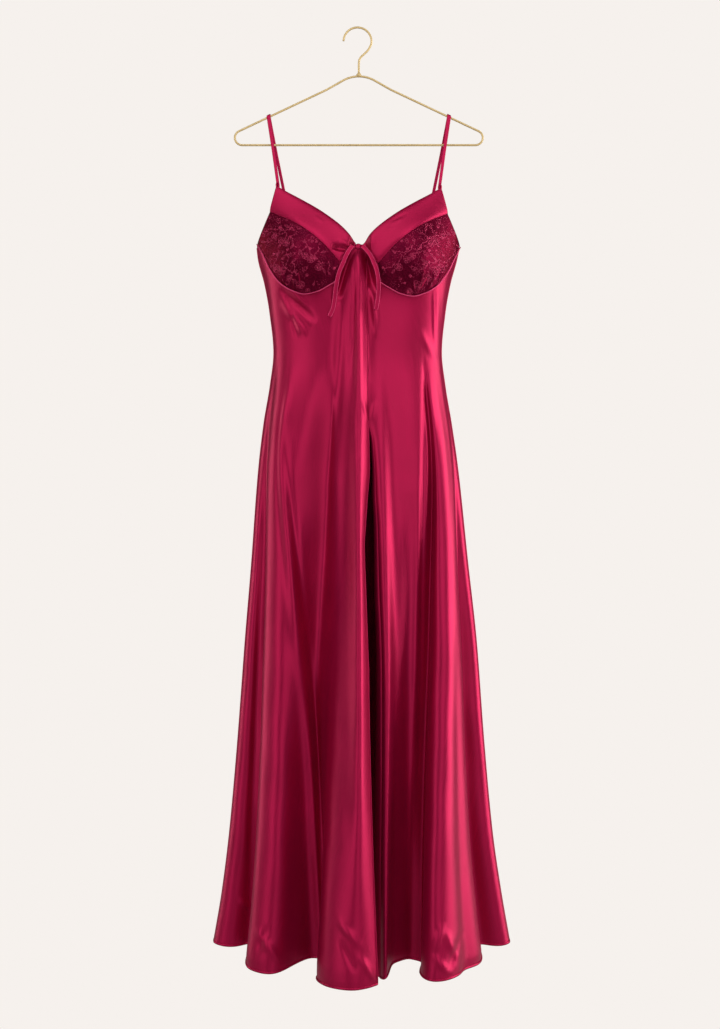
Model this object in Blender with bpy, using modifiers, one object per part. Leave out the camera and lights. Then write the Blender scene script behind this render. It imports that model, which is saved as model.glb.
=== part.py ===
"""A full-length satin slip gown with lace cups, hanging from a gold wire hanger.

Metres, +Z up, +X to the viewer's right, and the gown's front faces -Y. The origin is the inside of
the hook's crown, where the hanger hangs. The gown's wall comes from two tables: SECTIONS gives the
plain oval round the gown at each height, and the fold tables give each fold line's place on that
oval and how far it stands out of it. Each panel is a stretch of that wall, made as an open surface
and given its thickness by Solidify. Left and right are the viewer's.
"""

import math
from collections import namedtuple

import bmesh
import bpy
import numpy as np

# ---------------------------------------------------------------- driving sizes
SATIN = 0.0014  # wall of a satin panel
BAND_WALL = 0.0016  # the neck band is satin folded double
LACE_WALL = 0.0010
SEAM_GAP = 0.0003  # between two panels at a plain seam
BOUND_GAP = 0.0018  # between two panels under a piping or the band, which hides it
BAND_PROUD = 0.0024  # the band lies over the edges of the cup and the front, its face this far out

OVAL_POWER = 2.2  # roundness of the oval: 2 is an ellipse
ARMHOLE_Z = -0.3650  # the side seam's top
BACK_DIP = 0.0070  # the back's top edge hangs this much lower at its middle
HEM_Z = -1.5290  # the hem at the side seams

PIPING_RADIUS = 0.0014
CORD_RADIUS = 0.0025  # the bow's rouleau
STRAP_WIDTH = 0.0060
STRAP_WALL = 0.0013
STRAP_X = 0.1515  # where a strap crosses the hanger's wire
STRAP_LEVELS_OFF = 0.060  # a strand lies along the sloping wire at the top and is level this far down

WIRE_RADIUS = 0.00175
COLLAR_RADIUS = 0.0041
COLLAR_Z = -0.0784
HOOK_X = -0.0022  # the hook's circle lies a little left of the stem
HOOK_RADIUS = 0.0235  # to the wire's middle
HANGER_APEX_Z = -0.0757  # where the two arms' lines would meet
HANGER_BAR_Z = -0.1960
HANGER_CORNER_X = 0.2510  # where an arm's line would meet the bar
NECK_BEND = 0.045
END_BEND = 0.01235

# The plain oval at each height: how far it reaches to each side of the middle and to front and back.
Section = namedtuple("Section", "z left right front back")
SECTIONS = [
    Section(-1.530, 0.2430, 0.2525, 0.125, 0.130),
    Section(-1.450, 0.2295, 0.2385, 0.120, 0.120),
    Section(-1.350, 0.2170, 0.2240, 0.115, 0.110),
    Section(-1.200, 0.2035, 0.2100, 0.107, 0.097),
    Section(-1.027, 0.1905, 0.1970, 0.098, 0.084),
    Section(-0.900, 0.1800, 0.1830, 0.090, 0.074),
    Section(-0.740, 0.1680, 0.1660, 0.080, 0.062),
    Section(-0.663, 0.1590, 0.1550, 0.074, 0.054),
    Section(-0.600, 0.1485, 0.1445, 0.069, 0.048),
    Section(-0.545, 0.1425, 0.1385, 0.066, 0.044),
    Section(-0.475, 0.1495, 0.1450, 0.067, 0.045),
    Section(-0.430, 0.1576, 0.1530, 0.067, 0.046),
    Section(-0.385, 0.1690, 0.1650, 0.064, 0.046),
    Section(-0.355, 0.1715, 0.1700, 0.061, 0.045),
    Section(-0.270, 0.1715, 0.1700, 0.050, 0.042),
]

# Heights at which the fold tables say where a fold line is.
LEVELS = (("hem", -1.545), ("thigh", -1.023), ("hip", -0.663), ("waist", -0.545), ("bust", -0.464))

# A fold line's place across the oval, -1 at the left side and 1 at the right, at each level; how far
# it stands out there (nothing at the waist and above); and how far its hem hangs below HEM_Z.
Fold = namedtuple("Fold", "name bust waist hip thigh hem out_hip out_thigh out_hem drop")
FRONT_LEFT_FOLDS = [
    Fold("left_side", -1.0, -1.0, -1.0, -1.0, -1.0, 0.0, 0.0, 0.0, 0.0),
    Fold("side_lobe", -0.965, -0.985, -0.965, -0.933, -0.848, -0.004, -0.015, -0.041, 0.004),
    Fold("side_tuck", -0.915, -0.960, -0.930, -0.808, -0.733, -0.008, -0.042, -0.080, 0.000),
    Fold("flare_edge", -0.850, -0.925, -0.914, -0.828, -0.755, 0.004, 0.002, 0.017, 0.014),
    Fold("flare_crest", -0.770, -0.870, -0.857, -0.690, -0.567, 0.010, 0.014, 0.030, 0.018),
    Fold("flare_hollow", -0.670, -0.800, -0.814, -0.590, -0.389, 0.010, 0.010, -0.030, 0.010),
    Fold("drape_edge", -0.560, -0.720, -0.780, -0.493, -0.256, 0.014, 0.010, -0.042, 0.010),
    Fold("drape_slope", -0.450, -0.520, -0.520, -0.410, -0.225, 0.000, -0.024, -0.046, 0.014),
    Fold("drape_tuck", -0.380, -0.370, -0.300, -0.335, -0.191, -0.013, -0.038, -0.046, 0.020),
    Fold("centre_edge", -0.310, -0.280, -0.244, -0.240, -0.287, -0.004, -0.010, 0.019, 0.026),
    Fold("centre_shoulder", -0.241, -0.170, -0.141, -0.116, -0.152, 0.001, 0.013, 0.054, 0.026),
    Fold("centre_crest", -0.045, -0.030, -0.010, 0.010, -0.024, 0.008, 0.027, 0.063, 0.026),
    Fold("slit_left", 0.080, 0.100, 0.100, 0.076, 0.117, 0.000, 0.015, 0.040, 0.024),
]
FRONT_RIGHT_FOLDS = [
    Fold("slit_right", 0.080, 0.100, 0.100, 0.183, 0.134, 0.000, 0.004, 0.006, 0.024),
    Fold("slit_roll", 0.155, 0.195, 0.215, 0.232, 0.171, 0.006, 0.018, 0.028, 0.020),
    Fold("slit_hollow", 0.243, 0.310, 0.340, 0.310, 0.212, 0.000, 0.000, -0.019, 0.009),
    Fold("right_panel", 0.330, 0.440, 0.444, 0.395, 0.285, 0.001, 0.002, -0.026, 0.009),
    Fold("pleat_start", 0.430, 0.590, 0.570, 0.455, 0.315, 0.003, 0.002, -0.032, 0.010),
    Fold("pleat_under", 0.540, 0.730, 0.698, 0.500, 0.335, 0.004, -0.003, -0.036, 0.011),
    Fold("pleat_tuck", 0.610, 0.765, 0.747, 0.586, 0.418, -0.007, -0.034, -0.044, 0.016),
    Fold("pleat_edge", 0.675, 0.805, 0.791, 0.616, 0.382, 0.008, 0.014, 0.022, 0.017),
    Fold("pleat_crest", 0.745, 0.855, 0.864, 0.726, 0.485, 0.007, 0.028, 0.059, 0.019),
    Fold("pleat_end", 0.805, 0.892, 0.900, 0.785, 0.661, 0.005, 0.023, 0.036, 0.016),
    Fold("step_tuck", 0.855, 0.915, 0.918, 0.805, 0.643, 0.003, 0.020, 0.011, 0.016),
    Fold("step_crest", 0.893, 0.935, 0.934, 0.825, 0.735, 0.003, 0.017, 0.014, 0.015),
    Fold("step_edge", 0.928, 0.955, 0.952, 0.859, 0.799, 0.002, 0.007, -0.010, 0.014),
    Fold("side_tuck", 0.957, 0.975, 0.966, 0.838, 0.781, -0.005, -0.042, -0.070, 0.000),
    Fold("side_lobe", 0.982, 0.990, 0.984, 0.941, 0.896, -0.003, -0.018, -0.034, 0.004),
    Fold("right_side", 1.0, 1.0, 1.0, 1.0, 1.0, 0.0, 0.0, 0.0, 0.001),
]
BACK_FOLDS = [
    Fold("right_side", 1.0, 1.0, 1.0, 1.0, 1.0, 0.0, 0.0, 0.0, 0.001),
    Fold("right_lobe", 0.930, 0.930, 0.925, 0.905, 0.880, 0.001, 0.004, 0.012, 0.003),
    Fold("right_hollow", 0.760, 0.760, 0.750, 0.735, 0.710, -0.002, -0.012, -0.026, 0.000),
    Fold("right_crest", 0.540, 0.530, 0.520, 0.500, 0.510, 0.003, 0.013, 0.030, 0.006),
    Fold("mid_hollow", 0.290, 0.280, 0.270, 0.260, 0.270, -0.002, -0.014, -0.030, 0.001),
    Fold("mid_crest", 0.050, 0.030, 0.020, 0.010, -0.010, 0.003, 0.015, 0.034, 0.008),
    Fold("left_shallow", -0.210, -0.220, -0.230, -0.230, -0.250, -0.001, -0.010, -0.022, 0.002),
    Fold("left_crest", -0.460, -0.470, -0.480, -0.480, -0.480, 0.003, 0.012, 0.026, 0.006),
    Fold("left_hollow", -0.720, -0.720, -0.720, -0.720, -0.710, -0.002, -0.012, -0.028, 0.001),
    Fold("left_lobe", -0.920, -0.920, -0.915, -0.900, -0.880, 0.001, 0.004, 0.012, 0.003),
    Fold("left_side", -1.0, -1.0, -1.0, -1.0, -1.0, 0.0, 0.0, 0.0, 0.0),
]

# The slit's two edges, from its top down: how far each stands to the right of its fold line.
SlitEdge = namedtuple("SlitEdge", "z left right")
SLIT_EDGES = [
    SlitEdge(-1.010, 0.0000, 0.0000),
    SlitEdge(-0.928, -0.0022, 0.0000),
    SlitEdge(-0.866, -0.0047, 0.0008),
    SlitEdge(-0.829, -0.0015, 0.0025),
    SlitEdge(-0.743, 0.0036, 0.0058),
    SlitEdge(-0.700, 0.0026, 0.0050),
    SlitEdge(-0.665, 0.0000, 0.0000),
]

# Soft ridges (and troughs, with a height below 0) on the front, along a line from its top to its foot.
Crease = namedtuple("Crease", "name x_top z_top x_foot z_foot half_width height")
CREASES = [
    Crease("gather_left", -0.0095, -0.392, -0.0145, -0.520, 0.0040, 0.0030),
    Crease("gather_left_trough", -0.0050, -0.400, -0.0070, -0.600, 0.0035, -0.0034),
    Crease("gather_main", 0.0020, -0.394, 0.0070, -0.680, 0.0062, 0.0068),
    Crease("gather_right_trough", 0.0130, -0.400, 0.0190, -0.600, 0.0035, -0.0034),
    Crease("gather_right", 0.0190, -0.402, 0.0320, -0.530, 0.0045, 0.0034),
    Crease("gather_outer_trough", -0.0260, -0.430, -0.0420, -0.760, 0.0090, -0.0065),
    Crease("drape_head", -0.0640, -0.555, -0.1150, -0.800, 0.0100, 0.0045),
    Crease("cup_drag", -0.1205, -0.447, -0.0760, -0.506, 0.0080, 0.0050),
    Crease("side_ridge", 0.1300, -0.430, 0.1300, -0.545, 0.0045, 0.0030),
]

# The cups' fullness: one soft swelling on each side, rounder below than above.
BUST_X = 0.0930
BUST_Z = -0.3950
BUST_RISE = 0.0330
BUST_REACH_ACROSS = 0.0520
BUST_REACH_UP = 0.0720
BUST_REACH_DOWN = 0.0460

# One cup seen from the front, on the right half, from its outer end to the middle of the gown.
NECKLINE = [
    (0.1355, -0.2735), (0.1221, -0.2828), (0.0906, -0.3023),
    (0.0588, -0.3227), (0.0274, -0.3467), (0.0048, -0.3718),
]  # fmt: skip
BAND_BORDER = [
    (0.1465, -0.3172), (0.1286, -0.3265), (0.1025, -0.3420),
    (0.0770, -0.3612), (0.0552, -0.3803), (0.0318, -0.4054),
]  # fmt: skip
CUP_SEAM = [
    (0.1637, -0.3674), (0.1564, -0.3898), (0.1461, -0.4122), (0.1277, -0.4378), (0.1085, -0.4524),
    (0.0877, -0.4602), (0.0677, -0.4564), (0.0492, -0.4459), (0.0355, -0.4358),
]  # fmt: skip
BAND_TO_KNOT = [(0.0318, -0.4054), (0.0175, -0.3905), (0.0048, -0.3825)]
# The right cup hangs a little lower than the left one.
Side = namedtuple("Side", "name sign lower")
SIDES = (Side("left", -1, -0.0015), Side("right", 1, 0.0018))

# How finely the wall is divided.
STEPS_PER_FOLD = 3
CLOSE_TO_SIDE = 0.12  # of a step between fold lines: the wall turns quickly beside a side seam
PANEL_ROWS = 20
BACK_ROWS = 15
CUP_COLUMNS = 16
CUP_ROWS = 7
BAND_COLUMNS = 14
BAND_ROWS = 3

# The bow's tails, from the knot to the cut end.
LEFT_TAIL = [
    (-0.0100, -0.0800, -0.3790), (-0.0187, -0.0815, -0.3922), (-0.0258, -0.0825, -0.4088),
    (-0.0322, -0.0830, -0.4244), (-0.0352, -0.0830, -0.4368), (-0.0378, -0.0810, -0.4524),
    (-0.0393, -0.0785, -0.4659), (-0.0419, -0.0770, -0.4803), (-0.0476, -0.0765, -0.4938),
]  # fmt: skip
RIGHT_TAIL = [
    (0.0055, -0.0800, -0.3800), (0.0120, -0.0810, -0.3861), (0.0187, -0.0820, -0.3953),
    (0.0249, -0.0825, -0.4088), (0.0296, -0.0830, -0.4223), (0.0318, -0.0825, -0.4368),
    (0.0322, -0.0810, -0.4472), (0.0311, -0.0785, -0.4628), (0.0280, -0.0770, -0.4825),
]  # fmt: skip
KNOT_AT = (-0.0022, -0.0770, -0.3795)
KNOT_SIZE = (0.0046, 0.0042, 0.0058)  # half its width, depth and height
LOOP_AT = (-0.0180, -0.0735, -0.3790)
LOOP_SIZE = (0.0085, 0.0040)  # half its length and height, to the tube's middle
LOOP_RADIUS = 0.0013


# ---------------------------------------------------------------- curves and the wall's formula
def through(knots, values, at, level_ends=False):
    """A smooth curve through values at rising knots, which never overshoots them.

    Each cell between two knots is a cubic whose end slopes are the harmonic mean of the slopes on
    either side, or nothing at a highest or lowest value. Values may have a column for each of at's.
    """
    knots = np.asarray(knots, float)
    values = np.asarray(values, float)
    at = np.clip(np.asarray(at, float), knots[0], knots[-1])
    run = np.diff(knots).reshape([-1] + [1] * (values.ndim - 1))
    slope = np.diff(values, axis=0) / run
    before, after = slope[:-1], slope[1:]
    same_way = before * after > 0
    total = np.where(same_way, before + after, 1.0)
    tangent = np.zeros_like(values)
    tangent[1:-1] = np.where(same_way, 2.0 * before * after / total, 0.0)
    if not level_ends:
        tangent[0] = slope[0]
        tangent[-1] = slope[-1]
    cell = np.clip(np.searchsorted(knots, at, side="right") - 1, 0, len(knots) - 2)
    width = knots[cell + 1] - knots[cell]
    part = (at - knots[cell]) / width

    def pick(table, row):
        return np.take_along_axis(table, row, 0) if table.ndim > 1 else table[row]

    rise = part * part * (3.0 - 2.0 * part)
    leave = part * (1.0 - part) ** 2
    arrive = part * part * (part - 1.0)
    placed = pick(values, cell) * (1.0 - rise) + pick(values, cell + 1) * rise
    return placed + width * (pick(tangent, cell) * leave + pick(tangent, cell + 1) * arrive)


def section(column, z):
    """One column of SECTIONS at each height z."""
    heights = [row.z for row in SECTIONS]
    return through(heights, [getattr(row, column) for row in SECTIONS], z)


def half_width(across, z):
    return np.where(across < 0, section("left", z), section("right", z))


def oval(across):
    """How deep the oval is at each place across it, from 1 in the middle to 0 at the sides."""
    inside = np.clip(1.0 - np.abs(across) ** OVAL_POWER, 0.0, 1.0)
    return inside ** (1.0 / OVAL_POWER)


def bust(x, z):
    """The two swellings of the cups, as a rise towards the front."""
    reach = np.where(z > BUST_Z, BUST_REACH_UP, BUST_REACH_DOWN)
    along = ((z - BUST_Z) / reach) ** 2
    left = np.exp(-(((x + BUST_X) / BUST_REACH_ACROSS) ** 2) - along)
    right = np.exp(-(((x - BUST_X) / BUST_REACH_ACROSS) ** 2) - along)
    return BUST_RISE * (left + right)


def creased(x, z):
    """The soft ridges and troughs: each is bell-shaped across its line and fades at both ends."""
    rise = np.zeros_like(x)
    for crease in CREASES:
        run_x = crease.x_foot - crease.x_top
        run_z = crease.z_foot - crease.z_top
        length = math.hypot(run_x, run_z)
        dx, dz = x - crease.x_top, z - crease.z_top
        along = np.clip((dx * run_x + dz * run_z) / length**2, 0.0, 1.0)
        aside = (dx * run_z - dz * run_x) / length
        rise += crease.height * np.sin(math.pi * along) * np.exp(-((aside / crease.half_width) ** 2))
    return rise


def front_depth(x, z):
    """How far the front of the bodice stands towards the viewer at each place."""
    across = x / half_width(x, z)
    return section("front", z) * oval(across) + bust(x, z)


def fold_lines(folds, place, column_of, level_ends):
    """The fold table read at places between its rows (0 is its first), one row for each level."""
    rows = range(len(folds))
    return np.array([
        through(rows, [column_of(fold, level) for fold in folds], place, level_ends)
        for level, _ in LEVELS
    ])  # fmt: skip


def stands_out(fold, level):
    return getattr(fold, "out_" + level, 0.0)


def slit_shift(folds, place, z):
    """How far the slit's edge stands off its fold line, fading away by the next fold line."""
    heights = [row.z for row in SLIT_EDGES]
    if folds[0].name == "slit_right":
        edge = through(heights, [row.right for row in SLIT_EDGES], z)
        return edge * np.clip(1.0 - place, 0.0, 1.0)
    edge = through(heights, [row.left for row in SLIT_EDGES], z)
    return edge * np.clip(place - (len(folds) - 2), 0.0, 1.0)


def wall(folds, place, z, back):
    """The gown's wall: points for each row of z and each column's place along the fold table."""
    heights = [height for _, height in LEVELS]
    across = through(heights, fold_lines(folds, place, getattr, True), z)
    out = through(heights, fold_lines(folds, place, stands_out, True), z)
    x = across * half_width(across, z)
    if back:
        return np.stack([x, section("back", z) * oval(across) + out, z], axis=-1)
    x += slit_shift(folds, place, z)
    depth = section("front", z) * oval(across) + out + bust(x, z) + creased(x, z)
    return np.stack([x, -depth, z], axis=-1)


def columns_of(folds):
    """Places of a panel's columns: even steps between fold lines, and one close to a side seam."""
    last = len(folds) - 1
    even = np.linspace(0.0, last, last * STEPS_PER_FOLD + 1)
    at_sides = [spot for spot in (0, last) if abs(folds[spot].bust) == 1.0]
    close = [abs(spot - CLOSE_TO_SIDE) for spot in at_sides]
    return np.sort(np.concatenate([even, close]))


# ---------------------------------------------------------------- outlines of the cups and bands
def spread(points, count):
    """Points at even spacing along a smooth curve through a short list of points."""
    points = np.asarray(points, float)
    steps = np.linalg.norm(np.diff(points, axis=0), axis=1)
    along = np.concatenate([[0.0], np.cumsum(steps)])
    at = np.linspace(0.0, along[-1], count)
    return np.stack([through(along, column, at) for column in points.T], axis=-1)


def beside(outline, distance):
    """The outline moved to the side that is on the right of its run."""
    run = np.gradient(outline, axis=0)
    aside = np.stack([run[:, 1], -run[:, 0]], axis=-1)
    return outline + aside / np.linalg.norm(aside, axis=1, keepdims=True) * distance


def seen_outline(points, side):
    """An outline of the right half, placed on one side."""
    placed = np.asarray(points, float).copy()
    placed[:, 0] *= side.sign
    placed[:, 1] -= side.lower
    return placed


def between(top, foot, rows):
    """A grid of seen places blended from one outline to another."""
    down = np.linspace(0.0, 1.0, rows + 1)[:, None, None]
    return top[None] * (1.0 - down) + foot[None] * down


def on_bodice(seen, proud):
    """Seen places laid on the bodice's front and moved out by proud."""
    x, z = seen[..., 0], seen[..., 1]
    return moved_out(np.stack([x, -front_depth(x, z), z], axis=-1), proud)


def normals(grid):
    """Unit normals of a grid, pointing to the viewer on the front and away on the back."""
    down = np.gradient(grid, axis=0)
    along = np.gradient(grid, axis=1)
    normal = np.cross(down, along)
    return normal / np.maximum(np.linalg.norm(normal, axis=-1, keepdims=True), 1e-12)


def moved_out(grid, distance):
    return grid + normals(grid) * distance if distance else grid


def trimmed(grid, top=0.0, foot=0.0, first=0.0, last=0.0):
    """The grid with its outer rows and columns drawn in by these distances."""
    grid = grid.copy()
    for edge, inner, distance in ((0, 1, top), (-1, -2, foot)):
        step = grid[inner] - grid[edge]
        grid[edge] += step / np.linalg.norm(step, axis=-1, keepdims=True) * distance
    for edge, inner, distance in ((0, 1, first), (-1, -2, last)):
        step = grid[:, inner] - grid[:, edge]
        grid[:, edge] += step / np.linalg.norm(step, axis=-1, keepdims=True) * distance
    return grid


def front_top(folds, place):
    """Height of a front panel's top edge, where it meets the cup's seam, the band or the armhole.

    Each column's height is found by halving the stretch between a height above it and one below.
    """
    side = SIDES[0] if folds[0].hem < 0 else SIDES[1]
    knot_end = np.array([(0.0, BAND_TO_KNOT[-1][1])])
    inner, seam = spread(BAND_TO_KNOT, 12)[::-1], spread(CUP_SEAM, 60)[::-1]
    x_edge, z_edge = beside(np.concatenate([knot_end, inner, seam[1:]]), BOUND_GAP / 2).T
    high = np.full(len(place), ARMHOLE_Z + 0.005)
    low = np.full(len(place), ARMHOLE_Z - 0.120)
    for _ in range(30):
        middle = (high + low) / 2
        x = np.abs(wall(folds, place, middle[None], back=False)[0, :, 0])
        lower = side.lower * np.clip(x / x_edge[12], 0.0, 1.0)
        edge = np.where(x > x_edge[-1], ARMHOLE_Z, np.interp(x, x_edge, z_edge) - lower)
        high = np.where(middle > edge, middle, high)
        low = np.where(middle > edge, low, middle)
    return (high + low) / 2


def back_top(folds, place):
    across = through(range(len(folds)), [fold.bust for fold in folds], place, True)
    return ARMHOLE_Z - BACK_DIP * (1.0 - across**2)


def hem_height(folds, place):
    return HEM_Z - through(range(len(folds)), [fold.drop for fold in folds], place, True)


# ---------------------------------------------------------------- Blender objects
def start_scene():
    """Removes every object and makes the gown's collection."""
    for obj in list(bpy.data.objects):
        bpy.data.objects.remove(obj, do_unlink=True)
    collection = bpy.data.collections.new("lace_gown_on_hanger")
    bpy.context.scene.collection.children.link(collection)
    return collection


def finish(name, colour, roughness, metallic=0.0):
    """A Principled material of one colour (linear red, green and blue)."""
    material = bpy.data.materials.new(name)
    material.use_nodes = True
    shader = material.node_tree.nodes["Principled BSDF"]
    shader.inputs["Base Color"].default_value = (*colour, 1.0)
    shader.inputs["Roughness"].default_value = roughness
    shader.inputs["Metallic"].default_value = metallic
    return material


def add_object(collection, name, data, material):
    obj = bpy.data.objects.new(name, data)
    collection.objects.link(obj)
    data.materials.append(material)
    return obj


def grid_mesh(name, grid, wrap=False):
    """A mesh of four-sided faces through a grid of points, wrapped round if its columns close."""
    rows, columns = grid.shape[:2]
    number = np.arange(rows * columns).reshape(rows, columns)
    if wrap:
        number = np.concatenate([number, number[:, :1]], axis=1)
    corners = [number[:-1, :-1], number[1:, :-1], number[1:, 1:], number[:-1, 1:]]
    faces = np.stack(corners, axis=-1).reshape(-1, 4).tolist()
    mesh = bpy.data.meshes.new(name)
    mesh.from_pydata(grid.reshape(-1, 3).tolist(), [], faces)
    mesh.shade_smooth()
    return mesh


def cloth_panel(collection, name, grid, wall_thickness, material):
    """An open surface whose thickness goes inwards from its outer face."""
    obj = add_object(collection, name, grid_mesh(name, grid), material)
    solid = obj.modifiers.new("thickness", "SOLIDIFY")
    solid.thickness = wall_thickness
    solid.offset = -1.0
    solid.use_quality_normals = True
    return obj


def wire(collection, name, points, radius, material, closed=False, resolution=2):
    """A round wire along a list of points, with filled ends unless it closes on itself."""
    curve = bpy.data.curves.new(name, "CURVE")
    curve.dimensions = "3D"
    curve.bevel_depth = radius
    curve.bevel_resolution = resolution
    curve.use_fill_caps = not closed
    spline = curve.splines.new("POLY")
    spline.points.add(len(points) - 1)
    for spot, point in zip(spline.points, points):
        spot.co = (*point, 1.0)
    spline.use_cyclic_u = closed
    spline.use_smooth = True
    return add_object(collection, name, curve, material)


def as_mesh(collection, obj, material):
    """The object's evaluated shape as a mesh object of the same name, with loose caps welded."""
    graph = bpy.context.evaluated_depsgraph_get()
    mesh = bpy.data.meshes.new_from_object(obj.evaluated_get(graph))
    name = obj.name
    matrix = obj.matrix_world.copy()
    bpy.data.objects.remove(obj, do_unlink=True)
    shape = bmesh.new()
    shape.from_mesh(mesh)
    bmesh.ops.remove_doubles(shape, verts=shape.verts, dist=1e-6)
    shape.to_mesh(mesh)
    shape.free()
    mesh.materials.clear()
    welded = add_object(collection, name, mesh, material)
    welded.name = name
    welded.matrix_world = matrix
    return welded


# ---------------------------------------------------------------- the gown's pieces
def make_front(collection, name, folds, material):
    place = columns_of(folds)
    top, hem = front_top(folds, place), hem_height(folds, place)
    down = (np.linspace(0.0, 1.0, PANEL_ROWS + 1) ** 1.25)[:, None]
    z = top * (1.0 - down) + hem * down
    grid = wall(folds, place, z, back=False)
    grid = trimmed(grid, first=SEAM_GAP / 2, last=SEAM_GAP / 2)
    cloth_panel(collection, name, grid, SATIN, material)


def make_back(collection, material):
    place = columns_of(BACK_FOLDS)
    top, hem = back_top(BACK_FOLDS, place), hem_height(BACK_FOLDS, place)
    down = (np.linspace(0.0, 1.0, BACK_ROWS + 1) ** 1.1)[:, None]
    z = top * (1.0 - down) + hem * down
    grid = wall(BACK_FOLDS, place, z, back=True)
    grid = trimmed(grid, first=SEAM_GAP / 2, last=SEAM_GAP / 2)
    cloth_panel(collection, "back", grid, SATIN, material)


def left_to_right(outline, side):
    """Outlines run from the outer end inwards, so the right side's is turned round."""
    return outline if side.sign < 0 else outline[::-1]


def make_cup(collection, side, satin, lace, piping):
    """The satin cup, the lace laid over it and the piping along its lower seam."""
    border = left_to_right(spread(seen_outline(BAND_BORDER, side), CUP_COLUMNS + 1), side)
    seam = left_to_right(spread(seen_outline(CUP_SEAM, side), CUP_COLUMNS + 1), side)
    seen = between(border, seam, CUP_ROWS)
    inner = {"last": BOUND_GAP * 1.5} if side.sign < 0 else {"first": BOUND_GAP * 1.5}
    cup = trimmed(on_bodice(seen, 0.0), top=BOUND_GAP / 2, foot=BOUND_GAP / 2, **inner)
    cloth_panel(collection, "cup_" + side.name, cup, SATIN, satin)
    over = moved_out(cup, SEAM_GAP + LACE_WALL)
    cloth_panel(collection, "lace_" + side.name, over, LACE_WALL, lace)
    edge = np.concatenate([seam[None], seam[None] - [[[0.0, 0.004]]]])
    path = on_bodice(edge, SEAM_GAP + LACE_WALL + SEAM_GAP + PIPING_RADIUS)[0]
    wire(collection, "piping_" + side.name, path, PIPING_RADIUS, piping)


def make_band(collection, side, material):
    """The folded neck band, from the strap's corner to the knot."""
    to_knot = 3
    neckline = spread(seen_outline(NECKLINE, side), BAND_COLUMNS + 1)
    border = spread(seen_outline(BAND_BORDER, side), BAND_COLUMNS + 1 - to_knot)
    under_knot = spread(seen_outline(BAND_TO_KNOT, side), to_knot + 1)
    foot = np.concatenate([border, under_knot[1:]])
    neckline, foot = left_to_right(neckline, side), left_to_right(foot, side)
    grid = on_bodice(between(neckline, foot, BAND_ROWS), BAND_PROUD)
    at_middle = {"last": SEAM_GAP} if side.sign < 0 else {"first": SEAM_GAP}
    grid = trimmed(grid, foot=BOUND_GAP / 2, **at_middle)
    cloth_panel(collection, "band_" + side.name, grid, BAND_WALL, material)


def make_strap(collection, side, material):
    """One flat strap: up from the band's corner, over the hanger's wire and down to the back."""
    over_x = side.sign * STRAP_X
    wire_z = HANGER_APEX_Z + (HANGER_BAR_Z - HANGER_APEX_Z) * abs(over_x) / HANGER_CORNER_X
    round_wire = WIRE_RADIUS + SEAM_GAP * 2 + STRAP_WALL / 2
    corner_x, corner_z = NECKLINE[0]
    front = np.array([side.sign * (corner_x - 0.0022), -0.0335, corner_z - side.lower + 0.0018])
    back_x = 0.1060
    back_z = ARMHOLE_Z - BACK_DIP * (1.0 - (back_x / 0.1715) ** 2)
    back_y = float(section("back", back_z) * oval(back_x / 0.1715)) - SATIN / 2
    back = np.array([side.sign * back_x, back_y, back_z + 0.0012])
    turns = np.radians([-90, -60, -30, 0, 30, 60, 90])
    arch = [(over_x, round_wire * math.sin(a), wire_z + round_wire * math.cos(a)) for a in turns]
    stretch = np.linspace(0.0, 1.0, 7)[:, None]
    down_front = front + (np.array(arch[0]) - front) * stretch
    down_back = np.array(arch[-1]) + (back - np.array(arch[-1])) * stretch
    path = np.concatenate([down_front, arch[1:-1], down_back])
    ahead = np.gradient(path, axis=0)
    ahead /= np.linalg.norm(ahead, axis=1, keepdims=True)
    slope = side.sign * (HANGER_BAR_Z - HANGER_APEX_Z) / HANGER_CORNER_X
    near_wire = np.clip(1.0 - (wire_z - path[:, 2]) / STRAP_LEVELS_OFF, 0.0, 1.0)
    wide = np.stack([np.ones(len(path)), np.zeros(len(path)), slope * near_wire], axis=1)
    wide -= ahead * np.sum(ahead * wide, axis=1, keepdims=True)
    wide /= np.linalg.norm(wide, axis=1, keepdims=True)
    thick = np.cross(wide, ahead)
    corners = ((-1, -1), (1, -1), (1, 1), (-1, 1))
    ring = [
        path + wide * (a * STRAP_WIDTH / 2) + thick * (b * STRAP_WALL / 2) for a, b in corners
    ]
    name = "strap_" + side.name
    mesh = grid_mesh(name, np.stack(ring, axis=1), wrap=True)
    shape = bmesh.new()
    shape.from_mesh(mesh)
    bmesh.ops.holes_fill(shape, edges=shape.edges)
    bmesh.ops.recalc_face_normals(shape, faces=shape.faces)
    shape.to_mesh(mesh)
    shape.free()
    mesh.set_sharp_from_angle(angle=math.radians(40))
    add_object(collection, name, mesh, material)


def make_strap_loop(collection, side, material):
    """The small wrap where the front strand meets the band's corner."""
    corner_x, corner_z = NECKLINE[0]
    middle = np.array([side.sign * (corner_x - 0.0020), -0.0408, corner_z - side.lower + 0.0005])
    turns = np.linspace(0.0, 2.0 * math.pi, 12, endpoint=False)
    ring = [middle + [0.0022 * math.cos(a), 0.0, 0.0048 * math.sin(a)] for a in turns]
    wire(collection, "strap_loop_" + side.name, ring, 0.0011, material, closed=True)


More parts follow.
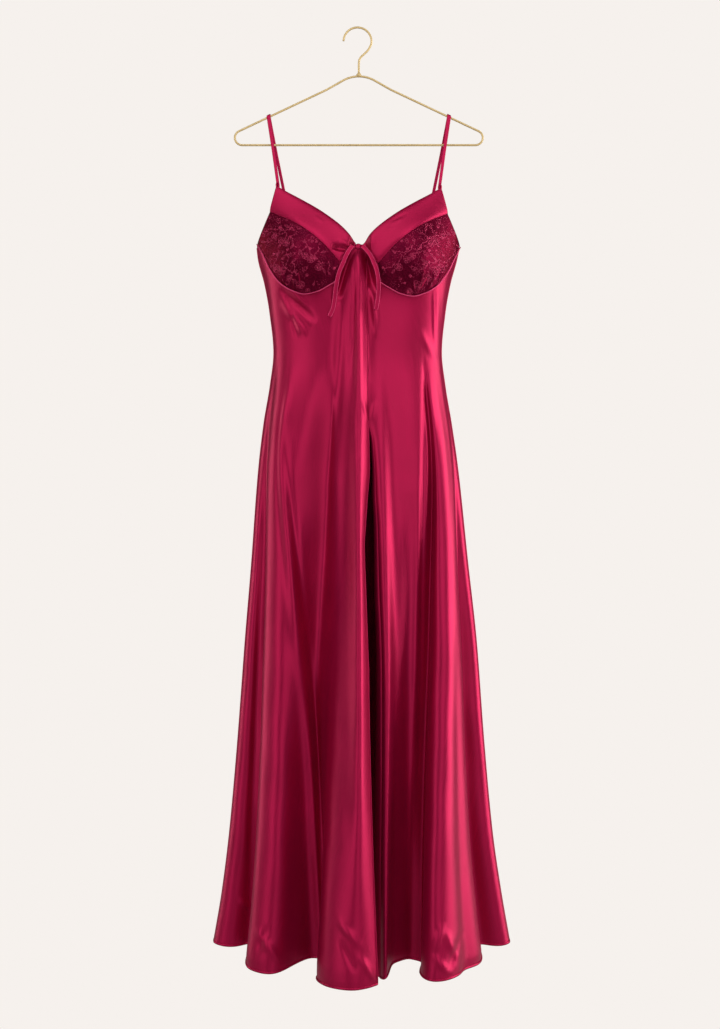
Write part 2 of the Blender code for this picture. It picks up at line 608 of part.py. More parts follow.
def make_bow(collection, material):
    """The knot, its small wrapped loop and the two tails."""
    bpy.ops.mesh.primitive_uv_sphere_add(segments=16, ring_count=10, location=KNOT_AT)
    knot = bpy.context.object
    knot.name = knot.data.name = "bow_knot"
    for holder in list(knot.users_collection):
        holder.objects.unlink(knot)
    collection.objects.link(knot)
    knot.data.materials.append(material)
    for vertex in knot.data.vertices:
        pinch = 1.0 - 0.16 * math.exp(-((vertex.co.z / 0.25) ** 2))
        vertex.co.x *= KNOT_SIZE[0] * pinch
        vertex.co.y *= KNOT_SIZE[1] * pinch
        vertex.co.z *= KNOT_SIZE[2]
    knot.data.shade_smooth()
    turns = np.linspace(0.0, 2.0 * math.pi, 16, endpoint=False)
    middle = np.array(LOOP_AT)
    ring = [
        middle + [LOOP_SIZE[0] * math.cos(a), 0.0, LOOP_SIZE[1] * math.sin(a)] for a in turns
    ]
    wire(collection, "bow_loop", ring, LOOP_RADIUS, material, closed=True)
    for name, route in (("bow_tail_left", LEFT_TAIL), ("bow_tail_right", RIGHT_TAIL)):
        wire(collection, name, spread(route, 12), CORD_RADIUS, material)


# ---------------------------------------------------------------- the hanger
def rounded(corners, bends, steps):
    """A closed outline through corners, each turned into an arc of its bend's radius."""
    outline = []
    count = len(corners)
    for i, (corner, bend) in enumerate(zip(corners, bends)):
        corner = np.array(corner)
        before = np.array(corners[i - 1]) - corner
        after = np.array(corners[(i + 1) % count]) - corner
        before /= np.linalg.norm(before)
        after /= np.linalg.norm(after)
        half = math.acos(float(before @ after)) / 2
        middle = (before + after) / np.linalg.norm(before + after)
        centre = corner + middle * bend / math.sin(half)
        first = corner + before * bend / math.tan(half) - centre
        last = corner + after * bend / math.tan(half) - centre
        start = math.atan2(first[1], first[0])
        turn = (math.atan2(last[1], last[0]) - start + math.pi) % (2 * math.pi) - math.pi
        for angle in np.linspace(start, start + turn, steps + 1):
            outline.append(centre + bend * np.array([math.cos(angle), math.sin(angle)]))
    return outline


def make_hanger(collection, material):
    corners = [
        (0.0, HANGER_APEX_Z),
        (HANGER_CORNER_X, HANGER_BAR_Z),
        (-HANGER_CORNER_X, HANGER_BAR_Z),
    ]
    outline = rounded(corners, (NECK_BEND, END_BEND, END_BEND), 8)
    frame_path = [(x, 0.0, z) for x, z in outline]
    wire(collection, "hanger_frame", frame_path, WIRE_RADIUS, material, closed=True)
    hook_z = WIRE_RADIUS - HOOK_RADIUS
    arc = np.radians(np.linspace(178, -12, 20))
    hook = [
        (HOOK_X + HOOK_RADIUS * math.cos(a), 0.0, hook_z + HOOK_RADIUS * math.sin(a)) for a in arc
    ]
    stem_top = COLLAR_Z + COLLAR_RADIUS + SEAM_GAP
    foot = [(0.0162, -0.0355), (0.0088, -0.0432), (0.0030, -0.0490), (0.0004, -0.0550)]
    hook += [(x, 0.0, z) for x, z in foot] + [(0.0, 0.0, -0.0640), (0.0, 0.0, stem_top)]
    wire(collection, "hanger_hook", hook, WIRE_RADIUS, material)
    groove = wire(collection, "groove", frame_path, WIRE_RADIUS + SEAM_GAP, material, closed=True)
    groove = as_mesh(collection, groove, material)
    helpers = bpy.data.collections.new("cutters")
    bpy.context.scene.collection.children.link(helpers)
    collection.objects.unlink(groove)
    helpers.objects.link(groove)
    groove.hide_render = True
    groove.display_type = "WIRE"
    bpy.ops.mesh.primitive_uv_sphere_add(
        segments=20, ring_count=12, radius=COLLAR_RADIUS, location=(0.0, 0.0, COLLAR_Z)
    )
    collar = bpy.context.object
    collar.name = collar.data.name = "hanger_collar"
    for holder in list(collar.users_collection):
        holder.objects.unlink(collar)
    collection.objects.link(collar)
    collar.data.materials.append(material)
    collar.data.shade_smooth()
    cut = collar.modifiers.new("frame groove", "BOOLEAN")
    cut.operation = "DIFFERENCE"
    cut.object = groove


def main():
    collection = start_scene()
    satin = finish("crimson satin", (0.37, 0.012, 0.042), 0.35)
    lace = finish("wine lace", (0.11, 0.004, 0.018), 0.6)
    brass = finish("pale gold wire", (0.62, 0.44, 0.20), 0.3, 1.0)
    make_hanger(collection, brass)
    for side in SIDES:
        make_strap(collection, side, satin)
        make_strap_loop(collection, side, satin)
        make_band(collection, side, satin)
        make_cup(collection, side, satin, lace, satin)
    make_front(collection, "front_left", FRONT_LEFT_FOLDS, satin)
    make_front(collection, "front_right", FRONT_RIGHT_FOLDS, satin)
    make_back(collection, satin)
    make_bow(collection, satin)


main()
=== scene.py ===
"""A satin slip gown with lace cups on a gold wire hanger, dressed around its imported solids.

Metres, +Z up, +X to the viewer's right, the gown's front faces -Y, and the hanger's hook hangs from
the origin. The gown's wall is one formula of two parameters: a place along a table of fold lines,
and a height. Left and right are the viewer's.
"""

import math
from collections import namedtuple

import bmesh
import bpy
import numpy as np
from bpy.props import FloatProperty, IntProperty, PointerProperty, StringProperty
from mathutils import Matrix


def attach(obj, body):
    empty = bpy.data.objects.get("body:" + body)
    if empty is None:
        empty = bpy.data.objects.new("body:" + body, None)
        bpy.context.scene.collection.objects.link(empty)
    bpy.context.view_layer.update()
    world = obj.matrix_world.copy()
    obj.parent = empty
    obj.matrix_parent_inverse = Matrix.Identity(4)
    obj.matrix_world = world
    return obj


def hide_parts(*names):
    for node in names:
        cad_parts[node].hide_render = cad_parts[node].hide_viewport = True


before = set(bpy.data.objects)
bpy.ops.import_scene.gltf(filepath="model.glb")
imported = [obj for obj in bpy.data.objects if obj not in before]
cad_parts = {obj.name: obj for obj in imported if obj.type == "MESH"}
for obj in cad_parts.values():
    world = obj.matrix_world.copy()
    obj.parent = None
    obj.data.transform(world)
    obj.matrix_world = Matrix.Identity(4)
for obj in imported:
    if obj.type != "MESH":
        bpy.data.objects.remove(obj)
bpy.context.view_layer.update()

bl_info = {
    "name": "Lace-cup satin gown",
    "version": (1, 0, 0),
    "blender": (4, 5, 0),
    "location": "3D View > Sidebar > Gown",
    "description": "Makes a satin slip gown with lace cups on a wire hanger, piece by piece",
    "category": "Add Mesh",
}

# ---------------------------------------------------------------- the solids' own sizes
SEAM_GAP = 0.0003
BOUND_GAP = 0.0018
BAND_PROUD = 0.0024
LACE_WALL = 0.0010
OVAL_POWER = 2.2
ARMHOLE_Z = -0.3650
BACK_DIP = 0.0070
HEM_Z = -1.5290
PIPING_RADIUS = 0.0014
STRAP_WALL = 0.0013
STRAP_X = 0.1515
STRAP_LEVELS_OFF = 0.060
WIRE_RADIUS = 0.00175
COLLAR_RADIUS = 0.0041
COLLAR_Z = -0.0784
HOOK_X = -0.0022
HOOK_RADIUS = 0.0235

# The plain oval at each height: its reach to each side of the middle and to front and back.
Section = namedtuple("Section", "z left right front back")
SECTIONS = [
    Section(-1.530, 0.2430, 0.2525, 0.125, 0.130),
    Section(-1.450, 0.2295, 0.2385, 0.120, 0.120),
    Section(-1.350, 0.2170, 0.2240, 0.115, 0.110),
    Section(-1.200, 0.2035, 0.2100, 0.107, 0.097),
    Section(-1.027, 0.1905, 0.1970, 0.098, 0.084),
    Section(-0.900, 0.1800, 0.1830, 0.090, 0.074),
    Section(-0.740, 0.1680, 0.1660, 0.080, 0.062),
    Section(-0.663, 0.1590, 0.1550, 0.074, 0.054),
    Section(-0.600, 0.1485, 0.1445, 0.069, 0.048),
    Section(-0.545, 0.1425, 0.1385, 0.066, 0.044),
    Section(-0.475, 0.1495, 0.1450, 0.067, 0.045),
    Section(-0.430, 0.1576, 0.1530, 0.067, 0.046),
    Section(-0.385, 0.1690, 0.1650, 0.064, 0.046),
    Section(-0.355, 0.1715, 0.1700, 0.061, 0.045),
    Section(-0.270, 0.1715, 0.1700, 0.050, 0.042),
]
# The heights that the fold tables speak of.
LEVELS = (("hem", -1.545), ("thigh", -1.023), ("hip", -0.663), ("waist", -0.545), ("bust", -0.464))

# A fold line's place across the oval at each level, how far it stands out, and its hem's drop.
Fold = namedtuple("Fold", "name bust waist hip thigh hem out_hip out_thigh out_hem drop")
FRONT_LEFT_FOLDS = [
    Fold("left_side", -1.0, -1.0, -1.0, -1.0, -1.0, 0.0, 0.0, 0.0, 0.0),
    Fold("side_lobe", -0.965, -0.985, -0.965, -0.933, -0.848, -0.004, -0.015, -0.041, 0.004),
    Fold("side_tuck", -0.915, -0.960, -0.930, -0.808, -0.733, -0.008, -0.042, -0.080, 0.000),
    Fold("flare_edge", -0.850, -0.925, -0.914, -0.828, -0.755, 0.004, 0.002, 0.017, 0.014),
    Fold("flare_crest", -0.770, -0.870, -0.857, -0.690, -0.567, 0.010, 0.014, 0.030, 0.018),
    Fold("flare_hollow", -0.670, -0.800, -0.814, -0.590, -0.389, 0.010, 0.010, -0.030, 0.010),
    Fold("drape_edge", -0.560, -0.720, -0.780, -0.493, -0.256, 0.014, 0.010, -0.042, 0.010),
    Fold("drape_slope", -0.450, -0.520, -0.520, -0.410, -0.225, 0.000, -0.024, -0.046, 0.014),
    Fold("drape_tuck", -0.380, -0.370, -0.300, -0.335, -0.191, -0.013, -0.038, -0.046, 0.020),
    Fold("centre_edge", -0.310, -0.280, -0.244, -0.240, -0.287, -0.004, -0.010, 0.019, 0.026),
    Fold("centre_shoulder", -0.241, -0.170, -0.141, -0.116, -0.152, 0.001, 0.013, 0.054, 0.026),
    Fold("centre_crest", -0.045, -0.030, -0.010, 0.010, -0.024, 0.008, 0.027, 0.063, 0.026),
    Fold("slit_left", 0.080, 0.100, 0.100, 0.076, 0.117, 0.000, 0.015, 0.040, 0.024),
]
FRONT_RIGHT_FOLDS = [
    Fold("slit_right", 0.080, 0.100, 0.100, 0.183, 0.134, 0.000, 0.004, 0.006, 0.024),
    Fold("slit_roll", 0.155, 0.195, 0.215, 0.232, 0.171, 0.006, 0.018, 0.028, 0.020),
    Fold("slit_hollow", 0.243, 0.310, 0.340, 0.310, 0.212, 0.000, 0.000, -0.019, 0.009),
    Fold("right_panel", 0.330, 0.440, 0.444, 0.395, 0.285, 0.001, 0.002, -0.026, 0.009),
    Fold("pleat_start", 0.430, 0.590, 0.570, 0.455, 0.315, 0.003, 0.002, -0.032, 0.010),
    Fold("pleat_under", 0.540, 0.730, 0.698, 0.500, 0.335, 0.004, -0.003, -0.036, 0.011),
    Fold("pleat_tuck", 0.610, 0.765, 0.747, 0.586, 0.418, -0.007, -0.034, -0.044, 0.016),
    Fold("pleat_edge", 0.675, 0.805, 0.791, 0.616, 0.382, 0.008, 0.014, 0.022, 0.017),
    Fold("pleat_crest", 0.745, 0.855, 0.864, 0.726, 0.485, 0.007, 0.028, 0.059, 0.019),
    Fold("pleat_end", 0.805, 0.892, 0.900, 0.785, 0.661, 0.005, 0.023, 0.036, 0.016),
    Fold("step_tuck", 0.855, 0.915, 0.918, 0.805, 0.643, 0.003, 0.020, 0.011, 0.016),
    Fold("step_crest", 0.893, 0.935, 0.934, 0.825, 0.735, 0.003, 0.017, 0.014, 0.015),
    Fold("step_edge", 0.928, 0.955, 0.952, 0.859, 0.799, 0.002, 0.007, -0.010, 0.014),
    Fold("side_tuck", 0.957, 0.975, 0.966, 0.838, 0.781, -0.005, -0.042, -0.070, 0.000),
    Fold("side_lobe", 0.982, 0.990, 0.984, 0.941, 0.896, -0.003, -0.018, -0.034, 0.004),
    Fold("right_side", 1.0, 1.0, 1.0, 1.0, 1.0, 0.0, 0.0, 0.0, 0.001),
]
BACK_FOLDS = [
    Fold("right_side", 1.0, 1.0, 1.0, 1.0, 1.0, 0.0, 0.0, 0.0, 0.001),
    Fold("right_lobe", 0.930, 0.930, 0.925, 0.905, 0.880, 0.001, 0.004, 0.012, 0.003),
    Fold("right_hollow", 0.760, 0.760, 0.750, 0.735, 0.710, -0.002, -0.012, -0.026, 0.000),
    Fold("right_crest", 0.540, 0.530, 0.520, 0.500, 0.510, 0.003, 0.013, 0.030, 0.006),
    Fold("mid_hollow", 0.290, 0.280, 0.270, 0.260, 0.270, -0.002, -0.014, -0.030, 0.001),
    Fold("mid_crest", 0.050, 0.030, 0.020, 0.010, -0.010, 0.003, 0.015, 0.034, 0.008),
    Fold("left_shallow", -0.210, -0.220, -0.230, -0.230, -0.250, -0.001, -0.010, -0.022, 0.002),
    Fold("left_crest", -0.460, -0.470, -0.480, -0.480, -0.480, 0.003, 0.012, 0.026, 0.006),
    Fold("left_hollow", -0.720, -0.720, -0.720, -0.720, -0.710, -0.002, -0.012, -0.028, 0.001),
    Fold("left_lobe", -0.920, -0.920, -0.915, -0.900, -0.880, 0.001, 0.004, 0.012, 0.003),
    Fold("left_side", -1.0, -1.0, -1.0, -1.0, -1.0, 0.0, 0.0, 0.0, 0.0),
]

# The slit's two edges, from below up to its head: how far each stands to the right of its fold
# line.
SlitEdge = namedtuple("SlitEdge", "z left right")
SLIT_EDGES = [
    SlitEdge(-1.060, 0.0000, 0.0000),
    SlitEdge(-0.971, -0.0030, -0.0008),
    SlitEdge(-0.928, -0.0046, 0.0004),
    SlitEdge(-0.866, -0.0071, 0.0042),
    SlitEdge(-0.829, -0.0050, 0.0060),
    SlitEdge(-0.789, -0.0025, 0.0064),
    SlitEdge(-0.743, 0.0008, 0.0084),
    SlitEdge(-0.700, 0.0004, 0.0072),
    SlitEdge(-0.665, 0.0000, 0.0000),
]

# Soft ridges (troughs where the height is below 0), each along a line from its top to its foot.
Crease = namedtuple("Crease", "name x_top z_top x_foot z_foot half_width height")
CREASES = [
    Crease("gather_left", -0.0095, -0.392, -0.0145, -0.520, 0.0040, 0.0030),
    Crease("gather_left_trough", -0.0050, -0.400, -0.0070, -0.600, 0.0035, -0.0034),
    Crease("gather_main", 0.0020, -0.394, 0.0070, -0.680, 0.0062, 0.0068),
    Crease("gather_right_trough", 0.0130, -0.400, 0.0190, -0.600, 0.0035, -0.0034),
    Crease("gather_right", 0.0190, -0.402, 0.0320, -0.530, 0.0045, 0.0034),
    Crease("gather_outer_trough", -0.0260, -0.430, -0.0420, -0.760, 0.0090, -0.0065),
    Crease("drape_head", -0.0640, -0.555, -0.1150, -0.800, 0.0100, 0.0045),
    Crease("cup_drag", -0.1205, -0.447, -0.0760, -0.506, 0.0080, 0.0050),
    Crease("side_ridge", 0.1300, -0.430, 0.1300, -0.545, 0.0045, 0.0030),
]
# Finer creases that only the cloth has: gathers under the knot, drags from the left cup, lines and
# recesses down the skirt, and crinkles above the hem.
FINE_CREASES = [
    Crease("knot_left_trough", -0.0060, -0.3640, -0.0400, -0.4740, 0.0056, -0.0150),
    Crease("knot_left_ridge", -0.0080, -0.3900, -0.0130, -0.5600, 0.0026, 0.0026),
    Crease("knot_main_left", -0.0080, -0.3900, -0.0090, -0.5400, 0.0022, -0.0026),
    Crease("knot_main_crest", -0.0030, -0.3740, -0.0010, -0.6600, 0.0050, 0.0042),
    Crease("knot_main_dent", 0.0058, -0.3740, 0.0090, -0.6600, 0.0040, -0.0030),
    Crease("knot_right_trough", 0.0070, -0.3600, 0.0280, -0.4660, 0.0068, -0.0180),
    Crease("knot_right_ridge", 0.0200, -0.4400, 0.0300, -0.5300, 0.0034, 0.0026),
    Crease("left_drag_low", -0.1290, -0.4600, -0.0860, -0.5240, 0.0050, 0.0060),
    Crease("left_drag_high", -0.1180, -0.4400, -0.0820, -0.4800, 0.0038, 0.0040),
    Crease("left_drag_dark", -0.1290, -0.4420, -0.0700, -0.5020, 0.0062, -0.0100),
    Crease("left_drag_steep", -0.1180, -0.4560, -0.1000, -0.5300, 0.0038, -0.0030),
    Crease("right_drag", 0.0980, -0.5100, 0.1290, -0.5620, 0.0060, 0.0022),
    Crease("right_side_ridge", 0.1230, -0.4360, 0.1250, -0.5300, 0.0022, 0.0012),
    Crease("slit_head_left", 0.0060, -0.6280, 0.0150, -0.6640, 0.0030, 0.0016),
    Crease("slit_head_right", 0.0290, -0.6300, 0.0180, -0.6640, 0.0035, 0.0018),
    Crease("main_ridge", -0.0010, -0.4200, 0.0010, -1.4500, 0.0125, 0.0110),
    Crease("flare_line", -0.1250, -0.6600, -0.0500, -1.3600, 0.0065, -0.0060),
    Crease("flare_fold", -0.1380, -0.6600, -0.0640, -1.3600, 0.0090, 0.0030),
    Crease("recess_left", -0.0960, -0.8600, -0.0720, -1.7600, 0.0180, -0.0200),
    Crease("recess_right", 0.0860, -0.7800, 0.0760, -1.7600, 0.0170, -0.0200),
    Crease("side_line", -0.1560, -0.7600, -0.1870, -1.5200, 0.0060, -0.0050),
    Crease("pleat_line", 0.1090, -0.5600, 0.0960, -1.3000, 0.0050, -0.0050),
    Crease("pleat_fold", 0.1200, -0.5600, 0.1100, -1.3000, 0.0070, 0.0030),
    Crease("hem_left", -0.1990, -1.4550, -0.1760, -1.4780, 0.0045, 0.0029),
    Crease("hem_flare", -0.1660, -1.4780, -0.1260, -1.5300, 0.0055, 0.0040),
    Crease("hem_flare_back", -0.1450, -1.4720, -0.1640, -1.5220, 0.0045, -0.0033),
    Crease("hem_centre", -0.0360, -1.4500, 0.0060, -1.4930, 0.0055, 0.0040),
    Crease("hem_centre_back", -0.0300, -1.4800, -0.0040, -1.5300, 0.0050, -0.0036),
    Crease("hem_centre_low", 0.0000, -1.5020, 0.0280, -1.5500, 0.0045, 0.0037),
    Crease("hem_pleat_first", 0.1340, -1.4600, 0.1180, -1.5060, 0.0050, 0.0046),
    Crease("hem_pleat_second", 0.1360, -1.4730, 0.1600, -1.5240, 0.0060, 0.0053),
    Crease("hem_pleat_third", 0.1660, -1.4800, 0.1390, -1.5380, 0.0050, -0.0050),
    Crease("hem_pleat_low", 0.1160, -1.5080, 0.1460, -1.5420, 0.0045, 0.0036),
]
# Gathers in the lace above each cup's lower seam, and puckers in the neck bands by the knot.
GATHERS = [
    Crease("left_outer", -0.1284, -0.3998, -0.1199, -0.4409, 0.0016, 0.0022),
    Crease("left_second", -0.1313, -0.4090, -0.1108, -0.4500, 0.0018, 0.0026),
    Crease("left_third", -0.1085, -0.4204, -0.1017, -0.4523, 0.0016, 0.0024),
    Crease("left_fourth", -0.0994, -0.4136, -0.0949, -0.4455, 0.0015, -0.0020),
    Crease("left_inner", -0.0880, -0.4364, -0.0857, -0.4523, 0.0015, 0.0017),
    Crease("right_inner", 0.0880, -0.4318, 0.0902, -0.4523, 0.0015, 0.0017),
    Crease("right_second", 0.1062, -0.4136, 0.0937, -0.4546, 0.0018, 0.0027),
    Crease("right_third", 0.1176, -0.4181, 0.0971, -0.4546, 0.0016, -0.0022),
    Crease("right_fourth", 0.1267, -0.4136, 0.1107, -0.4500, 0.0018, 0.0027),
    Crease("right_outer", 0.1427, -0.3998, 0.1267, -0.4409, 0.0016, 0.0022),
]
PUCKERS = [
    Crease("left_dimple", -0.0460, -0.3800, -0.0190, -0.3830, 0.0036, -0.0085),
    Crease("left_turn", -0.0330, -0.3700, -0.0140, -0.3770, 0.0030, 0.0020),
    Crease("left_end", -0.0060, -0.3560, -0.0090, -0.3980, 0.0064, -0.0105),
    Crease("right_end", 0.0080, -0.3540, 0.0120, -0.3990, 0.0072, -0.0115),
    Crease("right_turn", 0.0230, -0.3560, 0.0180, -0.3900, 0.0040, 0.0016),
    Crease("right_first", 0.0480, -0.3470, 0.0720, -0.3330, 0.0022, 0.0008),
    Crease("right_second", 0.0540, -0.3400, 0.0800, -0.3240, 0.0022, -0.0008),
    Crease("right_third", 0.0420, -0.3560, 0.0600, -0.3480, 0.0020, 0.0006),
    Crease("left_first", -0.0560, -0.3420, -0.0740, -0.3300, 0.0024, 0.0005),
]

# The swelling of a cup: its middle, its rise, its reach each way, and the share of the oval's half
# width over which it dies away at the side seam.
BUST_X = 0.0930
BUST_Z = -0.3950
BUST_RISE = 0.0330
BUST_REACH_ACROSS = 0.0520
BUST_REACH_UP = 0.0720
BUST_REACH_DOWN = 0.0460
SIDE_REACH = 0.03

# One cup seen from the front, on the right half, from its outer end to the middle of the gown.
NECKLINE = [
    (0.1355, -0.2735), (0.1221, -0.2828), (0.0906, -0.3023),
    (0.0588, -0.3227), (0.0274, -0.3467), (0.0048, -0.3718),
]
BAND_BORDER = [
    (0.1465, -0.3172), (0.1286, -0.3265), (0.1025, -0.3420),
    (0.0770, -0.3612), (0.0552, -0.3803), (0.0318, -0.4054),
]
CUP_SEAM = [
    (0.1680, -0.3655), (0.1564, -0.3898), (0.1461, -0.4122), (0.1277, -0.4370), (0.1085, -0.4499),
    (0.0877, -0.4566), (0.0677, -0.4530), (0.0492, -0.4438), (0.0355, -0.4358),
]
BAND_TO_KNOT = [(0.0318, -0.4054), (0.0175, -0.3905), (0.0048, -0.3825)]
# The two cups, and how much lower than the outlines above each one hangs.
Side = namedtuple("Side", "name sign lower")
SIDES = (Side("left", -1, -0.0015), Side("right", 1, 0.0018))

# The bow: its tails' routes from the knot to their free ends, and its knot and small loop.
LEFT_TAIL = [
    (-0.0100, -0.0800, -0.3790), (-0.0187, -0.0815, -0.3922), (-0.0258, -0.0825, -0.4088),
    (-0.0322, -0.0830, -0.4244), (-0.0352, -0.0830, -0.4368), (-0.0378, -0.0810, -0.4524),
    (-0.0393, -0.0785, -0.4659), (-0.0419, -0.0770, -0.4803), (-0.0476, -0.0765, -0.4938),
]
RIGHT_TAIL = [
    (0.0055, -0.0800, -0.3800), (0.0120, -0.0810, -0.3861), (0.0187, -0.0820, -0.3953),
    (0.0249, -0.0825, -0.4088), (0.0296, -0.0830, -0.4223), (0.0318, -0.0825, -0.4368),
    (0.0322, -0.0810, -0.4472), (0.0311, -0.0785, -0.4628), (0.0280, -0.0770, -0.4825),
]
KNOT_AT = (-0.0008, -0.0768, -0.3803)
KNOT_SIZE = (0.0064, 0.0046, 0.0050)
LOOP_AT = (-0.0185, -0.0765, -0.3818)
LOOP_SIZE = (0.0066, 0.0021)


# ---------------------------------------------------------------- the user's sizes and colours
def size_property(name, description, default, smallest, largest):
    """A length in metres that the user sets."""
    return FloatProperty(
        name=name, description=description, default=default, min=smallest, max=largest,
        unit="LENGTH", subtype="DISTANCE", precision=5,
    )


def count_property(name, description, default, smallest, largest):
    """A whole number that the user sets."""
    return IntProperty(
        name=name, description=description, default=default, min=smallest, max=largest
    )


def colour_property(name, description, default):
    """A colour that the user sets."""
    return StringProperty(name=name, description=description + " as sRGB hex", default=default)


class GownCloth(bpy.types.PropertyGroup):
    satin: colour_property("Satin", "The satin's colour", "B80848")
    satin_wall: size_property("Satin wall", "Thickness of a panel", 0.0012, 0.0003, 0.003)
    columns: count_property("Columns", "Faces across one front panel", 165, 40, 170)
    rows: count_property("Rows", "Faces from the bust to the hem", 290, 60, 290)


class GownLace(bpy.types.PropertyGroup):
    net: colour_property("Net", "The lace ground's colour", "44041A")
    thread: colour_property("Motif thread", "The motifs' colour", "5C0A28")
    motif_cord: size_property("Motif cord", "Width of a motif's outline", 0.0010, 0.0004, 0.003)
    motifs: count_property("Motifs", "Flowers, vines and scrolls on each cup", 220, 1, 240)


class GownTrim(bpy.types.PropertyGroup):
    # The piping's colour is paler than the satin's, as a painted highlight.
    rim_highlight: colour_property("Piping", "The piping's colour", "E4507E")
    stitch: size_property("Stitch", "Length of one stitch", 0.0022, 0.001, 0.006)
    cord_width: size_property("Cord width", "Width of the bow's cord", 0.0068, 0.004, 0.008)
    cord_flatness: FloatProperty(
        name="Cord flatness", description="The bow cord's depth as a share of its width",
        default=0.50, min=0.3, max=1.0, subtype="FACTOR",
    )


class GownHanger(bpy.types.PropertyGroup):
    gold: colour_property("Gold", "The wire's colour", "DCC28E")
    sides: count_property("Wire sides", "Faces round the wire", 14, 6, 32)


class GownStage(bpy.types.PropertyGroup):
    backdrop: colour_property("Backdrop", "The backdrop's colour", "F6F1ED")
    key_power: FloatProperty(
        name="Key light", description="Power of the large front light", default=95.0, min=0.0,
        unit="POWER",
    )
    camera_distance: size_property("Camera distance", "From the gown's middle", 2.5, 1.0, 10.0)
    lens: FloatProperty(
        name="Lens", description="Focal length", default=52.06, min=20.0, max=200.0,
        unit="CAMERA",
    )


# ---------------------------------------------------------------- curves and the wall's formula
def through(knots, values, at, level_ends=False):
    """A smooth curve through values at rising knots, which never overshoots them.

    Each cell between two knots is a cubic whose end slopes are the harmonic mean of the slopes on
    either side, or nothing at a highest or lowest value. Values may have a column for each of at's.
    """
    knots = np.asarray(knots, float)
    values = np.asarray(values, float)
    at = np.clip(np.asarray(at, float), knots[0], knots[-1])
    run = np.diff(knots).reshape([-1] + [1] * (values.ndim - 1))
    slope = np.diff(values, axis=0) / run
    before, after = slope[:-1], slope[1:]
    same_way = before * after > 0
    total = np.where(same_way, before + after, 1.0)
    tangent = np.zeros_like(values)
    tangent[1:-1] = np.where(same_way, 2.0 * before * after / total, 0.0)
    if not level_ends:
        tangent[0] = slope[0]
        tangent[-1] = slope[-1]
    cell = np.clip(np.searchsorted(knots, at, side="right") - 1, 0, len(knots) - 2)
    width = knots[cell + 1] - knots[cell]
    part = (at - knots[cell]) / width

    def pick(table, row):
        return np.take_along_axis(table, row, 0) if table.ndim > 1 else table[row]

    rise = part * part * (3.0 - 2.0 * part)
    leave = part * (1.0 - part) ** 2
    arrive = part * part * (part - 1.0)
    placed = pick(values, cell) * (1.0 - rise) + pick(values, cell + 1) * rise
    return placed + width * (pick(tangent, cell) * leave + pick(tangent, cell + 1) * arrive)


def at_height(table, column, z):
    """One column of a table, such as SECTIONS, at each height z."""
    return through([row.z for row in table], [getattr(row, column) for row in table], z)


def half_width(across, z):
    """The oval's reach to the side that each place is on."""
    return np.where(across < 0, at_height(SECTIONS, "left", z), at_height(SECTIONS, "right", z))


def oval(across):
    """How deep the oval is at each place across it, from 1 in the middle to 0 at the sides."""
    inside = np.clip(1.0 - np.abs(across) ** OVAL_POWER, 0.0, 1.0)
    return inside ** (1.0 / OVAL_POWER)


def bust(x, z, across):
    """The two swellings of the cups: bell-shaped across, and rounder below than above.

    They die away at the side seams, over the last few hundredths of the oval's half width.
    """
    reach = np.where(z > BUST_Z, BUST_REACH_UP, BUST_REACH_DOWN)
    along = ((z - BUST_Z) / reach) ** 2
    left = np.exp(-(((x + BUST_X) / BUST_REACH_ACROSS) ** 2) - along)
    right = np.exp(-(((x - BUST_X) / BUST_REACH_ACROSS) ** 2) - along)
    inside = 1.0 - np.exp(-(((1.0 - np.abs(across)) / SIDE_REACH) ** 2))
    return BUST_RISE * (left + right) * inside


def creased(x, z, creases):
    """Soft ridges and troughs: each is bell-shaped across its line and fades at both ends."""
    rise = np.zeros_like(x)
    for crease in creases:
        run_x = crease.x_foot - crease.x_top
        run_z = crease.z_foot - crease.z_top
        length = math.hypot(run_x, run_z)
        dx, dz = x - crease.x_top, z - crease.z_top
        along = np.clip((dx * run_x + dz * run_z) / length**2, 0.0, 1.0)
        aside = (dx * run_z - dz * run_x) / length
        bell = np.exp(-((aside / crease.half_width) ** 2))
        rise += crease.height * np.sin(math.pi * along) * bell
    return rise


def front_depth(x, z):
    """How far the front of the bodice stands towards the viewer at each place."""
    across = x / half_width(x, z)
    return at_height(SECTIONS, "front", z) * oval(across) + bust(x, z, across)


def fold_line(folds, column, place):
    """One column of a fold table (0 if it has none) at places between its rows, from 0."""
    return through(range(len(folds)), [getattr(fold, column, 0.0) for fold in folds], place, True)


def slit_shift(folds, place, z):
    """How far the slit's edge stands off its fold line, fading away by the next fold line."""
    if folds[0].name == "slit_right":
        return at_height(SLIT_EDGES, "right", z) * np.clip(1.0 - place, 0.0, 1.0)
    return at_height(SLIT_EDGES, "left", z) * np.clip(place - (len(folds) - 2), 0.0, 1.0)


def wall(folds, place, z, back):
    """The gown's wall: across and out come from the fold table at each place, read along z.

    Then x is across times the oval's half width, and the depth is the oval's own plus what the
    fold, the bust and the creases stand out.
    """
    levels, heights = zip(*LEVELS)
    across, out = (
        through(heights, np.array([fold_line(folds, kind + level, place) for level in levels]), z)
        for kind in ("", "out_")
    )
    x = across * half_width(across, z)
    if back:
        return np.stack([x, at_height(SECTIONS, "back", z) * oval(across) + out, z], axis=-1)
    x += slit_shift(folds, place, z)
    swelling = bust(x, z, across)
    depth = at_height(SECTIONS, "front", z) * oval(across) + out + swelling + creased(x, z, CREASES)
    return np.stack([x, -depth, z], axis=-1)


# ---------------------------------------------------------------- outlines and grids
def run_along(path):
    """Distance run from a path's first point, at each of its points."""
    return np.concatenate([[0.0], np.cumsum(np.linalg.norm(np.diff(path, axis=0), axis=1))])


def spread(points, count):
    """Points at even spacing along a smooth curve through a short list of points."""
    points = np.asarray(points, float)
    along = run_along(points)
    at = np.linspace(0.0, along[-1], count)
    return np.stack([through(along, column, at) for column in points.T], axis=-1)


